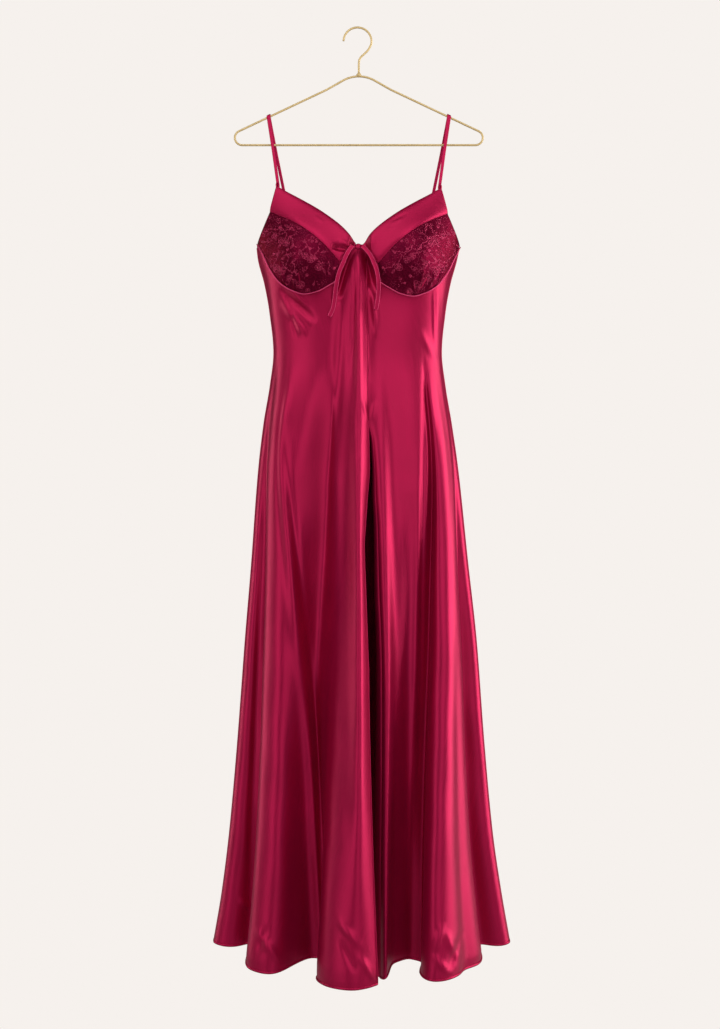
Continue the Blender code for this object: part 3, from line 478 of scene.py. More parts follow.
def beside(outline, distance):
    """The outline moved to the side that is on the right of its run."""
    run = np.gradient(outline, axis=0)
    aside = np.stack([run[:, 1], -run[:, 0]], axis=-1)
    return outline + aside / np.linalg.norm(aside, axis=1, keepdims=True) * distance


def seen_outline(points, side):
    """An outline of the right half, placed on one side."""
    placed = np.asarray(points, float).copy()
    placed[:, 0] *= side.sign
    placed[:, 1] -= side.lower
    return placed


def left_to_right(outline, side):
    """Outlines run from the outer end inwards, so the right side's is turned round."""
    return outline if side.sign < 0 else outline[::-1]


def between(top, foot, down):
    """A grid of seen places blended from one outline to another, by each row's share of the way."""
    down = down[:, None, None]
    return top[None] * (1.0 - down) + foot[None] * down


def unit(vectors):
    """Vectors brought to a length of 1."""
    return vectors / np.maximum(np.linalg.norm(vectors, axis=-1, keepdims=True), 1e-12)


def trimmed(grid, top=0.0, foot=0.0, first=0.0, last=0.0):
    """The grid with its outer rows and columns drawn in by these distances."""
    grid = grid.copy()
    for edge, inner, distance in ((0, 1, top), (-1, -2, foot)):
        grid[edge] += unit(grid[inner] - grid[edge]) * distance
    for edge, inner, distance in ((0, 1, first), (-1, -2, last)):
        grid[:, edge] += unit(grid[:, inner] - grid[:, edge]) * distance
    return grid


def lengths_along(grid):
    """Distance run from a grid's first column, at each of its points."""
    steps = np.linalg.norm(np.diff(grid, axis=1), axis=-1)
    return np.concatenate([np.zeros((len(grid), 1)), np.cumsum(steps, axis=1)], axis=1)


KNOT_STEPS = 12
SEAM_STEPS = 60
TOP_ABOVE, TOP_BELOW = 0.005, 0.120
HALVINGS = 30


def front_top(folds, place):
    """Height of a front panel's top edge, where it meets the cup's seam, the band or the armhole.

    Each column's height is found by halving the stretch between a height above it and one below.
    """
    side = SIDES[0] if folds[0].hem < 0 else SIDES[1]
    knot_end = np.array([(0.0, BAND_TO_KNOT[-1][1])])
    inner, seam = spread(BAND_TO_KNOT, KNOT_STEPS)[::-1], spread(CUP_SEAM, SEAM_STEPS)[::-1]
    x_edge, z_edge = beside(np.concatenate([knot_end, inner, seam[1:]]), -BOUND_GAP / 3).T
    high = np.full(len(place), ARMHOLE_Z + TOP_ABOVE)
    low = np.full(len(place), ARMHOLE_Z - TOP_BELOW)
    for _ in range(HALVINGS):
        middle = (high + low) / 2
        x = np.abs(wall(folds, place, middle[None], back=False)[0, :, 0])
        lower = side.lower * np.clip(x / x_edge[KNOT_STEPS], 0.0, 1.0)
        edge = np.where(x > x_edge[-1], ARMHOLE_Z, np.interp(x, x_edge, z_edge) - lower)
        high = np.where(middle > edge, middle, high)
        low = np.where(middle > edge, low, middle)
    return (high + low) / 2


def back_top(folds, place):
    """Height of the back's top edge, which dips a little towards the middle."""
    return ARMHOLE_Z - BACK_DIP * (1.0 - fold_line(folds, "bust", place) ** 2)


# Fine places to measure a panel's width at, and the heights where it is measured.
FINE_PLACES = 800
MEASURED_AT = (-0.55, -0.95, -1.45)


def even_places(folds, count, back):
    """Places along the fold table whose columns are about evenly wide, seen at three heights."""
    place = np.linspace(0.0, len(folds) - 1, FINE_PLACES)
    heights = np.array(MEASURED_AT)[:, None] + np.zeros((len(MEASURED_AT), FINE_PLACES))
    run = lengths_along(wall(folds, place, heights, back))
    run = (run / run[:, -1:]).mean(axis=0)
    return np.interp(np.linspace(0.0, 1.0, count + 1), run, place)


def softened(grid, passes, kept):
    """The grid with its folds rounded: each pass moves a point towards its row's two neighbours.

    The first and last kept columns hold still, and the ones beside them move less.
    """
    column = np.arange(grid.shape[1])
    inside = np.minimum(column, column[::-1]) - kept
    share = np.clip(inside / kept, 0.0, 1.0)[1:-1, None] / 4
    for _ in range(passes):
        grid = grid.copy()
        grid[:, 1:-1] += (grid[:, :-2] + grid[:, 2:] - 2 * grid[:, 1:-1]) * share
    return grid


# The satin's ripples: how high the fine and the broad ones are, and from where down they show.
FINE_RIPPLE, BROAD_RIPPLE = 0.00003, 0.0006
RIPPLES_FROM, RIPPLES_OVER = -0.44, 0.2


def ripples(x, z):
    """Faint waves in the hanging satin: two fine sines across that drift slowly with height.

    A third, broader and twenty times as high, swells and fades down the cloth.
    """
    fine = np.sin(x / 0.0052 + 3.0 * np.sin(z / 0.23)) + 0.8 * np.sin(x / 0.0083 + 9.0 * z + 2.0)
    broad = np.sin(x / 0.0125 + 4.0 * np.sin(z / 0.19)) * np.sin(z / 0.046 + x / 0.031)
    shown = np.clip((RIPPLES_FROM - z) / RIPPLES_OVER, 0.0, 1.0)
    return (FINE_RIPPLE * fine + BROAD_RIPPLE * broad) * shown


def carried(path, profile, wide, closed=False):
    """A profile carried along one path, or along many of equal count.

    Each ring is the path's point, plus the profile's first value times the direction of wide
    squared up to the path, plus its second value times the direction across both.
    """
    ahead = np.roll(path, -1, -2) - np.roll(path, 1, -2) if closed else np.gradient(path, axis=-2)
    ahead = unit(ahead)
    wide = np.broadcast_to(np.asarray(wide, float), path.shape)
    wide = unit(wide - ahead * np.sum(ahead * wide, axis=-1, keepdims=True))
    across = np.cross(ahead, wide)[..., None, :]
    return path[..., None, :] + wide[..., None, :] * profile[..., :1] + across * profile[..., 1:]


def ellipse(width, depth, sides, power=2.0):
    """A profile round an ellipse, squarer for a higher power."""
    turn = np.linspace(0.0, 2.0 * math.pi, sides, endpoint=False)
    x, y = np.cos(turn), np.sin(turn)
    return np.stack([
        np.sign(x) * np.abs(x) ** (2.0 / power) * width / 2,
        np.sign(y) * np.abs(y) ** (2.0 / power) * depth / 2,
    ], axis=-1)


def laid_on(seen, proud):
    """Seen places on the bodice moved out by proud, and the directions they move in.

    The way out is square to the surface's slopes across and up, taken over a tenth of a
    millimetre to either side.
    """
    x, z = seen[..., 0], seen[..., 1]
    step = 0.0001
    slope_x = (front_depth(x + step, z) - front_depth(x - step, z)) / (2 * step)
    slope_z = (front_depth(x, z + step) - front_depth(x, z - step)) / (2 * step)
    out = -unit(np.stack([slope_x, np.ones_like(x), slope_z], axis=-1))
    return np.stack([x, -front_depth(x, z), z], axis=-1) + out * np.asarray(proud)[..., None], out


# ---------------------------------------------------------------- meshes and objects
def faces_of(rows, columns, wrap_rows=False, wrap_columns=False):
    """Four-sided faces between neighbouring points of a grid, by number."""
    number = np.arange(rows * columns).reshape(rows, columns)
    if wrap_columns:
        number = np.concatenate([number, number[:, :1]], axis=1)
    if wrap_rows:
        number = np.concatenate([number, number[:1]], axis=0)
    corners = [number[:-1, :-1], number[1:, :-1], number[1:, 1:], number[:-1, 1:]]
    return np.stack(corners, axis=-1).reshape(-1, 4)


def mesh_from(name, points, faces, caps=(), cloth_uv=None):
    """A smooth mesh of points and faces, with a UV map in metres where cloth_uv gives one."""
    mesh = bpy.data.meshes.new(name)
    mesh.from_pydata(points.reshape(-1, 3).tolist(), [], faces.tolist() + [list(c) for c in caps])
    mesh.shade_smooth()
    if cloth_uv is not None:
        layer = mesh.uv_layers.new(name="cloth")
        corner = np.empty(len(mesh.loops), np.int32)
        mesh.loops.foreach_get("vertex_index", corner)
        layer.uv.foreach_set("vector", cloth_uv.reshape(-1, 2)[corner].astype(np.float32).ravel())
    mesh.update()
    return mesh


def facing_out(mesh):
    """The closed mesh with all its faces turned outwards."""
    shape = bmesh.new()
    shape.from_mesh(mesh)
    bmesh.ops.recalc_face_normals(shape, faces=shape.faces)
    shape.to_mesh(mesh)
    shape.free()
    return mesh


def new_object(name, data):
    """A new object in the scene, at the origin."""
    obj = bpy.data.objects.new(name, data)
    bpy.context.scene.collection.objects.link(obj)
    return obj


def add_piece(name, mesh, material, nodes=()):
    """A finished piece at the origin, riding on the root, in place of these solids."""
    obj = new_object(name, mesh)
    mesh.materials.append(material)
    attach(obj, "root")
    if nodes:
        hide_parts(*nodes)
    return obj


def sheet_piece(name, grid, cloth_uv, material, thickness, nodes=()):
    """A piece made of an open grid, whose wall goes inwards from its outer face."""
    mesh = mesh_from(name, grid, faces_of(*grid.shape[:2]), cloth_uv=cloth_uv)
    obj = add_piece(name, mesh, material, nodes)
    solid = obj.modifiers.new("cloth wall", "SOLIDIFY")
    solid.thickness = thickness
    solid.offset = -1.0
    solid.use_quality_normals = True
    return obj


# The cloth that a tube's UV map has round it, and the angle from which its edges are sharp.
CLOTH_ROUND_TUBE = 0.012
SHARP_FROM = math.radians(50)


def tube_piece(name, path, profile, wide, material, nodes=(), closed=False):
    """A piece made by carrying a closed profile along a path, capped unless the path closes."""
    grid = carried(path, profile, wide, closed)
    rows, columns = grid.shape[:2]
    faces = faces_of(rows, columns, wrap_rows=closed, wrap_columns=True)
    ends = () if closed else (range(columns), range((rows - 1) * columns, rows * columns))
    round_it = np.linspace(0.0, CLOTH_ROUND_TUBE, columns)
    cloth_uv = np.stack(np.broadcast_arrays(round_it[None], run_along(path)[:, None]), axis=-1)
    mesh = facing_out(mesh_from(name, grid, faces, ends, cloth_uv))
    mesh.set_sharp_from_angle(angle=SHARP_FROM)
    return add_piece(name, mesh, material, nodes)


def strands_piece(name, paths, profile, out, material, slot):
    """Many short capped tubes in one piece, each along its own path of equal count."""
    grid = carried(paths, profile, out)
    count, rings, sides = grid.shape[:3]
    first = (np.arange(count) * rings * sides)[:, None, None]
    faces = (faces_of(rings, sides, wrap_columns=True) + first).reshape(-1, 4)
    near = np.arange(sides) + first[:, 0]
    caps = np.concatenate([near, near + (rings - 1) * sides])
    mesh = facing_out(mesh_from(name, grid, faces, caps.tolist()))
    return add_piece(name, mesh, material)


def stitches(path, out, length, pitch, cord):
    """Stitches along a line: three points for each, taken from the line's run, and their rings."""
    run = run_along(path)
    starts = np.arange(pitch, run[-1] - pitch, pitch)
    at = starts[:, None] + np.array([0.0, 0.5, 1.0]) * length
    paths, ways = (
        np.stack([np.interp(at, run, column) for column in line.T], axis=-1) for line in (path, out)
    )
    lift = np.array([0.1, 0.5, 0.1])[:, None] * cord
    return paths + ways * lift, ellipse(cord, cord, 4), ways


BALL_SIDES, BALL_RINGS = 40, 25


def ball(name, centre, radii, groove=0.0):
    """A closed ball: radii times the sine and cosine of two angles.

    Where groove is above 0, it is pinched in round its middle and has grooves that wind round it.
    """
    around = np.linspace(0.0, 2.0 * math.pi, BALL_SIDES, endpoint=False)
    up = np.linspace(0.0, math.pi, BALL_RINGS)[1:-1, None]
    reach = np.sin(up) * (1.0 - 2 * groove * np.exp(-((np.cos(up) / 0.25) ** 2)))
    reach = reach * (1.0 - groove * np.abs(np.cos(4.0 * up + around)))
    shell = np.stack(
        [reach * np.cos(around), reach * np.sin(around), np.cos(up) + 0 * around], axis=-1
    ) * radii + centre
    rows, columns = shell.shape[:2]
    caps = (range(columns), range((rows - 1) * columns, rows * columns))
    faces = faces_of(rows, columns, wrap_columns=True)
    return facing_out(mesh_from(name, shell, faces, caps, shell[..., [0, 2]]))


# ---------------------------------------------------------------- materials
def linear(hex_colour):
    """An sRGB hex colour as linear red, green, blue and alpha."""
    value = np.array([int(hex_colour[i : i + 2], 16) for i in (0, 2, 4)]) / 255.0
    value = np.where(value <= 0.04045, value / 12.92, ((value + 0.055) / 1.055) ** 2.4)
    return (*value.tolist(), 1.0)


def add_node(tree, kind, settings=None, values=None, links=None):
    """Adds one node: its settings, its sockets' values, and links given as socket to source."""
    node = tree.nodes.new(kind)
    for name, value in (settings or {}).items():
        setattr(node, name, value)
    for socket, value in (values or {}).items():
        node.inputs[socket].default_value = value
    for socket, source in (links or {}).items():
        tree.links.new(source, node.inputs[socket])
    return node


def new_material(name, shader_values):
    """A material with a Principled shader, and its tree and shader."""
    material = bpy.data.materials.new(name)
    material.use_nodes = True
    tree = material.node_tree
    shader = tree.nodes["Principled BSDF"]
    for socket, value in shader_values.items():
        shader.inputs[socket].default_value = value
    return material, tree, shader


def patches(tree, size, detail=2.0):
    """Soft noise at the piece's own places, with patches of this size in metres."""
    place = add_node(tree, "ShaderNodeTexCoord").outputs["Object"]
    values = {"Scale": 1 / size, "Detail": detail}
    return add_node(tree, "ShaderNodeTexNoise", None, values, {"Vector": place}).outputs["Fac"]


def product(tree, first, second):
    """Two values multiplied."""
    links = {0: first, 1: second}
    return add_node(tree, "ShaderNodeMath", {"operation": "MULTIPLY"}, None, links).outputs[0]


def remapped(tree, value, start, end):
    """A value carried evenly from one range to another."""
    values = dict(zip(("From Min", "From Max", "To Min", "To Max"), (*start, *end)))
    return add_node(tree, "ShaderNodeMapRange", None, values, {"Value": value}).outputs["Result"]


def shade(tree, shader, factor, first, second):
    """Gives the shader the colour between two hex colours by a factor."""
    ends = {"A": linear(first), "B": linear(second)}
    mixed = add_node(tree, "ShaderNodeMix", {"data_type": "RGBA"}, ends, {"Factor": factor})
    tree.links.new(mixed.outputs["Result"], shader.inputs["Base Color"])


def emboss(tree, shader, height, strength, depth):
    """Gives the shader a bump of this strength and depth in metres."""
    values = {"Strength": strength, "Distance": depth}
    bump = add_node(tree, "ShaderNodeBump", None, values, {"Height": height})
    tree.links.new(bump.outputs["Normal"], shader.inputs["Normal"])


def satin_material(name, hex_colour, darker):
    """Crimson charmeuse satin: long warp floats, so it shines softly and in its own colour.

    The warp runs down the cloth. Its 0.25 mm threads are too fine to show, so they are drawn as
    uneven streaks 1.6 mm wide and 60 mm long.
    """
    material, tree, shader = new_material(name, {
        "Metallic": 0.65, "Roughness": 0.36, "IOR": 1.35, "Sheen Weight": 0.02,
        "Sheen Roughness": 0.4, "Sheen Tint": linear("FF3A70"),
    })
    cloth = add_node(tree, "ShaderNodeUVMap", {"uv_map": "cloth"}).outputs["UV"]
    streak_size = {"Scale": (1 / 0.0016, 1 / 0.060, 1.0)}
    threads = add_node(tree, "ShaderNodeMapping", None, streak_size, {"Vector": cloth})
    streak = add_node(
        tree, "ShaderNodeTexNoise", {"noise_dimensions": "2D"},
        {"Scale": 1.0, "Detail": 2.0, "Roughness": 0.6}, {"Vector": threads.outputs["Vector"]},
    ).outputs["Fac"]
    shade(tree, shader, product(tree, streak, patches(tree, 0.070)), darker, hex_colour)
    emboss(tree, shader, streak, 0.10, 0.0004)
    rough = remapped(tree, streak, (0.3, 0.7), (0.37, 0.46))
    tree.links.new(rough, shader.inputs["Roughness"])
    return material


def net_material(hex_colour):
    """Nylon net over satin: a dark mesh of fine holes through which the satin glows.

    The holes are 0.8 mm across and are drawn 2.4 mm apart so that they show.
    """
    material, tree, shader = new_material("nylon net over satin", {
        "Metallic": 0.70, "Roughness": 0.42, "IOR": 1.2, "Specular Tint": linear("C04068"),
    })
    place = add_node(tree, "ShaderNodeTexCoord").outputs["Object"]
    hole_size = {"Scale": 1 / 0.0024, "Randomness": 0.8}
    holes = add_node(tree, "ShaderNodeTexVoronoi", None, hole_size, {"Vector": place})
    holes = holes.outputs["Distance"]
    glow = product(tree, remapped(tree, holes, (0.15, 0.75), (1.0, 0.35)),
                   patches(tree, 0.018, 3.0))
    shade(tree, shader, glow, hex_colour, "7E0E30")
    emboss(tree, shader, holes, 0.35, 0.0004)
    return material


def thread_material(hex_colour):
    """Rayon embroidery thread: twisted and glossy, with painted glints in small random spots."""
    material, tree, shader = new_material("rayon motif thread", {
        "Metallic": 0.55, "Roughness": 0.26, "IOR": 1.35, "Sheen Weight": 0.04,
        "Sheen Roughness": 0.4, "Sheen Tint": linear("FF9AB4"),
    })
    # Small spots lightened at random are painted glints; the same noise is the twist's bump.
    twist_and_glints = patches(tree, 0.0025)
    shade(tree, shader, twist_and_glints, hex_colour, "E03A6C")
    emboss(tree, shader, twist_and_glints, 0.4, 0.0003)
    return material


def gold_material(hex_colour):
    """Brass-plated steel wire: drawn smooth and satin-lacquered, so its warm shine is soft."""
    material, tree, shader = new_material("brass-plated wire", {
        "Metallic": 0.25, "Roughness": 0.6, "Coat Weight": 0.05, "Coat Roughness": 0.5,
    })
    drawn = patches(tree, 0.030)
    shade(tree, shader, drawn, "C2A66C", hex_colour)
    rough = remapped(tree, drawn, (0.0, 1.0), (0.58, 0.66))
    tree.links.new(rough, shader.inputs["Roughness"])
    return material


def seen_apart(tree, seen, bounced, output):
    """Ends a tree with one shader where it is seen, and another in the light that it gives."""
    light_path = add_node(tree, "ShaderNodeLightPath").outputs["Is Camera Ray"]
    links = {0: light_path, 1: bounced.outputs[0], 2: seen.outputs[0]}
    mixed = add_node(tree, "ShaderNodeMixShader", None, None, links)
    tree.links.new(mixed.outputs[0], tree.nodes[output].inputs["Surface"])


def paper_material(backdrop):
    """Matt backdrop paper: as even and pale as the backdrop to look at, and grey in bounce."""
    material, tree, shader = new_material(
        "matt backdrop paper", {"Base Color": (0.45, 0.43, 0.43, 1.0), "Roughness": 0.9}
    )
    seen = add_node(tree, "ShaderNodeEmission", None, {"Color": backdrop, "Strength": 1.0})
    seen_apart(tree, seen, shader, "Material Output")
    return material


def satin_of(scene):
    """The gown's satin, made once."""
    name = "crimson charmeuse satin"
    found = bpy.data.materials.get(name)
    return found or satin_material(name, scene.gown_cloth.satin, "980638")


def highlit_piping_of(scene):
    """The paler satin of the rims, made once: its paleness is a painted highlight."""
    name = "crimson satin piping with painted highlight"
    found = bpy.data.materials.get(name)
    return found or satin_material(name, scene.gown_trim.rim_highlight, "B8305C")


# ---------------------------------------------------------------- operators
# Lights round the gown: degrees to the right of the camera and above its level, and a share of
# the key light's power.
Softbox = namedtuple("Softbox", "name turn tilt distance width height share")
SOFTBOXES = [
    Softbox("front", 16, 12, 3.4, 2.4, 3.0, 0.37),
    Softbox("top", -8, 50, 3.0, 5.0, 1.8, 0.62),
    Softbox("left_front", -46, 6, 3.2, 1.6, 3.0, 0.31),
    Softbox("left_side", -104, 4, 3.0, 1.2, 3.0, 0.34),
    Softbox("right_side", 90, 6, 2.8, 1.9, 3.0, 1.08),
]
CAMERA_X, CAMERA_Z = 0.002, -0.8165
SENSOR = 36.0
MIDDLE_Z = -0.80
FLOOR_Z = -1.76
FLOOR_REACH = 3.0
ROOM_COLOUR = (0.80, 0.74, 0.74, 1.0)
ROOM_STRENGTH = 0.05


class GOWN_OT_stage(bpy.types.Operator):
    """Make the camera, the pale floor and backdrop, and the soft studio lights"""

    bl_idname = "gown.stage"
    bl_label = "Stage"

    def execute(self, context):
        sizes = context.scene.gown_stage
        camera = new_object("camera", bpy.data.cameras.new("camera"))
        camera.location = (CAMERA_X, -sizes.camera_distance, CAMERA_Z)
        camera.rotation_euler = (math.radians(90), 0.0, 0.0)
        camera.data.lens = sizes.lens
        camera.data.sensor_width = SENSOR
        context.scene.camera = camera

        world = bpy.data.worlds.new("pale studio")
        context.scene.world = world
        world.use_nodes = True
        tree = world.node_tree
        backdrop = linear(sizes.backdrop)
        room, seen = (
            add_node(tree, "ShaderNodeBackground", None, {"Color": colour, "Strength": strength})
            for colour, strength in ((ROOM_COLOUR, ROOM_STRENGTH), (backdrop, 1.0))
        )
        seen_apart(tree, seen, room, "World Output")

        corners = np.array([(-1, -1), (1, -1), (1, 1), (-1, 1)]) * FLOOR_REACH
        corners = np.concatenate([corners, np.full((4, 1), FLOOR_Z)], axis=1)
        mesh = mesh_from("floor", corners, np.array([[0, 1, 2, 3]]))
        mesh.materials.append(paper_material(backdrop))
        new_object("floor", mesh)

        for box in SOFTBOXES:
            light = bpy.data.lights.new(box.name, "AREA")
            light.shape = "RECTANGLE"
            light.size, light.size_y = box.width, box.height
            light.energy = sizes.key_power * box.share
            obj = new_object(box.name, light)
            turn, tilt = math.radians(box.turn), math.radians(box.tilt)
            level = box.distance * math.cos(tilt)
            lamp_z = MIDDLE_Z + box.distance * math.sin(tilt)
            obj.location = (level * math.sin(turn), -level * math.cos(turn), lamp_z)
            obj.rotation_euler = (math.pi / 2 - tilt, 0.0, turn)
        context.scene.view_settings.view_transform = "Standard"
        return {"FINISHED"}


# Each panel's piece and node, its folds, and the flat size and area that it was cut to.
Panel = namedtuple("Panel", "name node folds back width length area")
PANELS = [
    Panel("gown_front_left", "front_left", FRONT_LEFT_FOLDS, False, 0.48, 1.18, 0.366),
    Panel("gown_front_right", "front_right", FRONT_RIGHT_FOLDS, False, 0.48, 1.18, 0.323),
    Panel("gown_back", "back", BACK_FOLDS, True, 0.62, 1.18, 0.536),
]
SLIT_HEAD_Z = -0.6625
HEM_ROWS = 14
BACK_SHARE = 0.65
CREASE_START = 0.014
HEM_ROLL_WIDE, HEM_ROLL_DEEP = 0.0040, 0.0028
HEM_ZONE = HEM_ROLL_WIDE * 3.5
SIDE_SEAM = (0.0022, 0.0024)
CENTRE_SEAM = (0.0030, 0.0014)
CENTRE_SEAM_SUNK = 0.0011
SLIT_HEM = (0.0026, 0.0022)
# How high and how broad the fronts' tops run on up under the knot.
TUCKED_UP, TUCKED_REACH = 0.0070, 0.016
# How the folds are rounded: passes, columns held still at each side, and over what height below
# the top edge the rounding comes in.
ROUNDING_PASSES, STILL_COLUMNS, ROUNDED_OVER = 26, 4, 0.10
# The back's ripples are read beside the front's, so that they differ.
BACK_RIPPLES_ASIDE = 0.3
FACING_TURN = (-0.0120, 0.0220)
FACING_COLUMNS = 8
FACING_AT_HEAD = 0.25


def panel_grid(panel, columns, rows):
    """One panel's grid: the wall's formula on even places and falling heights, folds rounded.

    The heights fall evenly from the top edge, and closer together over the last of the hem. The
    rounding grows from nothing at the top edge, so that the edge stays on its seam.
    """
    place = even_places(panel.folds, columns, panel.back)
    hem = HEM_Z - fold_line(panel.folds, "drop", place)
    if panel.back:
        top = back_top(panel.folds, place)
    else:
        top = front_top(panel.folds, place)
        across = fold_line(panel.folds, "bust", place)
        aside = across * half_width(across, top) / TUCKED_REACH
        top = top + TUCKED_UP * np.exp(-(aside**4))
    hem_part = HEM_ZONE / (HEM_Z - ARMHOLE_Z)
    down = np.concatenate([
        np.linspace(0.0, 1.0 + hem_part, rows + 1 - HEM_ROWS),
        np.linspace(1.0 + hem_part, 1.0, HEM_ROWS + 1)[1:],
    ])[:, None]
    z = top * (1.0 - down) + hem * down
    grid = wall(panel.folds, place, z, panel.back)
    rounded_share = np.clip((top - z) / ROUNDED_OVER, 0.0, 1.0)[..., None]
    grid += (softened(grid, ROUNDING_PASSES, STILL_COLUMNS) - grid) * rounded_share
    x = grid[..., 0]
    if panel.back:
        grid[..., 1] += ripples(x + BACK_RIPPLES_ASIDE, z)
    else:
        below_top = np.clip((top - z) / CREASE_START, 0.0, 1.0)
        grid[..., 1] -= creased(x, z, FINE_CREASES) * below_top + ripples(x, z)
    return trimmed(grid, first=SEAM_GAP / 2, last=SEAM_GAP / 2)


def edge_roll(name, path, material, out=(0.0, -1.0, 0.0), size=(HEM_ROLL_WIDE, HEM_ROLL_DEEP)):
    """A narrow rolled hem carried along a free edge, so wide and so deep."""
    wide, deep = size
    return tube_piece(name, path, ellipse(deep, wide, 10, 2.4), out, material)


def down_cloth(grid):
    """A panel's UV map in metres: the distance run across it, and the height."""
    return np.stack([lengths_along(grid), grid[..., 2]], axis=-1)


class GOWN_OT_panels(bpy.types.Operator):
    """Make the satin front and back panels with their folds, creases, rolled hems and seams"""

    bl_idname = "gown.panels"
    bl_label = "Satin panels"

    def execute(self, context):
        sizes = context.scene.gown_cloth
        satin = satin_of(context.scene)
        edges = {}
        for panel in PANELS:
            fewer = BACK_SHARE if panel.back else 1.0
            grid = panel_grid(panel, int(sizes.columns * fewer), sizes.rows)
            obj = sheet_piece(panel.name, grid, down_cloth(grid), satin,
                              sizes.satin_wall, [panel.node])
            way = 1.0 if panel.back else -1.0
            hem = edge_roll(panel.name + "_hem", grid[-1], satin, (0.0, way, 0.0))
            edges[panel.node] = grid
        for name, front, side in (("left", edges["front_left"][:, 0], edges["back"][:, -1]),
                                  ("right", edges["front_right"][:, -1], edges["back"][:, 0])):
            seam = (front + side) / 2
            edge_roll("side_seam_" + name, seam[1:], satin, (0.0, 1.0, 0.0), SIDE_SEAM)
        left, right = edges["front_left"][:, -1], edges["front_right"][:, 0]
        above = left[:, 2] > SLIT_HEAD_Z
        inner = (left + right)[above] / 2 + [0.0, CENTRE_SEAM_SUNK, 0.0]
        edge_roll("centre_seam", inner, satin, size=CENTRE_SEAM)
        edge_roll("slit_hem_left", left[~above], satin, size=SLIT_HEM)
        edge_roll("slit_hem_right", right[~above], satin, size=SLIT_HEM)
        # The facing turns in from the slit's right edge as a quarter wave, narrower at its head.
        turned = right[~above]
        share = np.clip((SLIT_HEAD_Z - turned[:, 2]) / (SLIT_HEAD_Z - HEM_Z), 0.0, 1.0)
        share = FACING_AT_HEAD + (1.0 - FACING_AT_HEAD) * share
        reach = np.linspace(0.0, 1.0, FACING_COLUMNS)
        bend = np.stack([FACING_TURN[0] * np.sin(reach * math.pi / 2), FACING_TURN[1] * reach,
                         0.0 * reach], axis=-1)
        facing = turned[:, None] + bend * share[:, None, None]
        sheet_piece("slit_facing", facing, down_cloth(facing), satin, sizes.satin_wall)
        return {"FINISHED"}


CUP_COLUMNS, CUP_ROWS, CUP_WALL = 70, 50, 0.0012
NET_COLUMNS, NET_ROWS, NET_WALL = 130, 90, 0.0006
NET_PROUD = 0.0013
UNDER_BAND = 0.0012
PIPING_STEPS = 90
PIPING_WIDTH = 0.0022
PIPING_PROUD = LACE_WALL + 2 * SEAM_GAP + PIPING_RADIUS * 0.8


def cup_grid(side, columns, rows, proud, relief=()):
    """A cup's grid between the band's border and its lower seam, running under both.

    Its seen places are blended from one outline to the other, laid on the bodice's front, and
    moved out by proud and by the relief's creases.
    """
    border = left_to_right(spread(seen_outline(BAND_BORDER, side), columns + 1), side)
    seam = left_to_right(spread(seen_outline(CUP_SEAM, side), columns + 1), side)
    grid = between(border, seam, np.linspace(0.0, 1.0, rows + 1))
    grid = trimmed(grid, top=-UNDER_BAND, foot=BOUND_GAP / 3)
    return laid_on(grid, proud + creased(grid[..., 0], grid[..., 1], relief))[0]


class GOWN_OT_cups(bpy.types.Operator):
    """Make the satin cups, the gathered net over them and the piping along their lower seams"""

    bl_idname = "gown.cups"
    bl_label = "Cups and piping"

    def execute(self, context):
        satin = satin_of(context.scene)
        # The piping's satin is paler than the gown's, a painted highlight along its round face.
        piping = highlit_piping_of(context.scene)
        net = net_material(context.scene.gown_lace.net)
        for side in SIDES:
            cup = cup_grid(side, CUP_COLUMNS, CUP_ROWS, 0.0)
            obj = sheet_piece("cup_lining_" + side.name, cup, cup[..., [0, 2]], satin,
                              CUP_WALL, ["cup_" + side.name])
            over = cup_grid(side, NET_COLUMNS, NET_ROWS, NET_PROUD, GATHERS)
            obj = sheet_piece("lace_net_" + side.name, over, over[..., [0, 2]], net,
                              NET_WALL, ["lace_" + side.name])
            line = left_to_right(spread(seen_outline(CUP_SEAM, side), PIPING_STEPS)[1:], side)
            path, out = laid_on(line, PIPING_PROUD)
            tube_piece("cup_piping_" + side.name, path, ellipse(PIPING_WIDTH, PIPING_WIDTH, 12),
                       out, piping, ["piping_" + side.name])
        return {"FINISHED"}


STRAND_POINTS = 11
STRAND_SIDES = 5
TURN_APART = math.pi * (3.0 - math.sqrt(5.0))


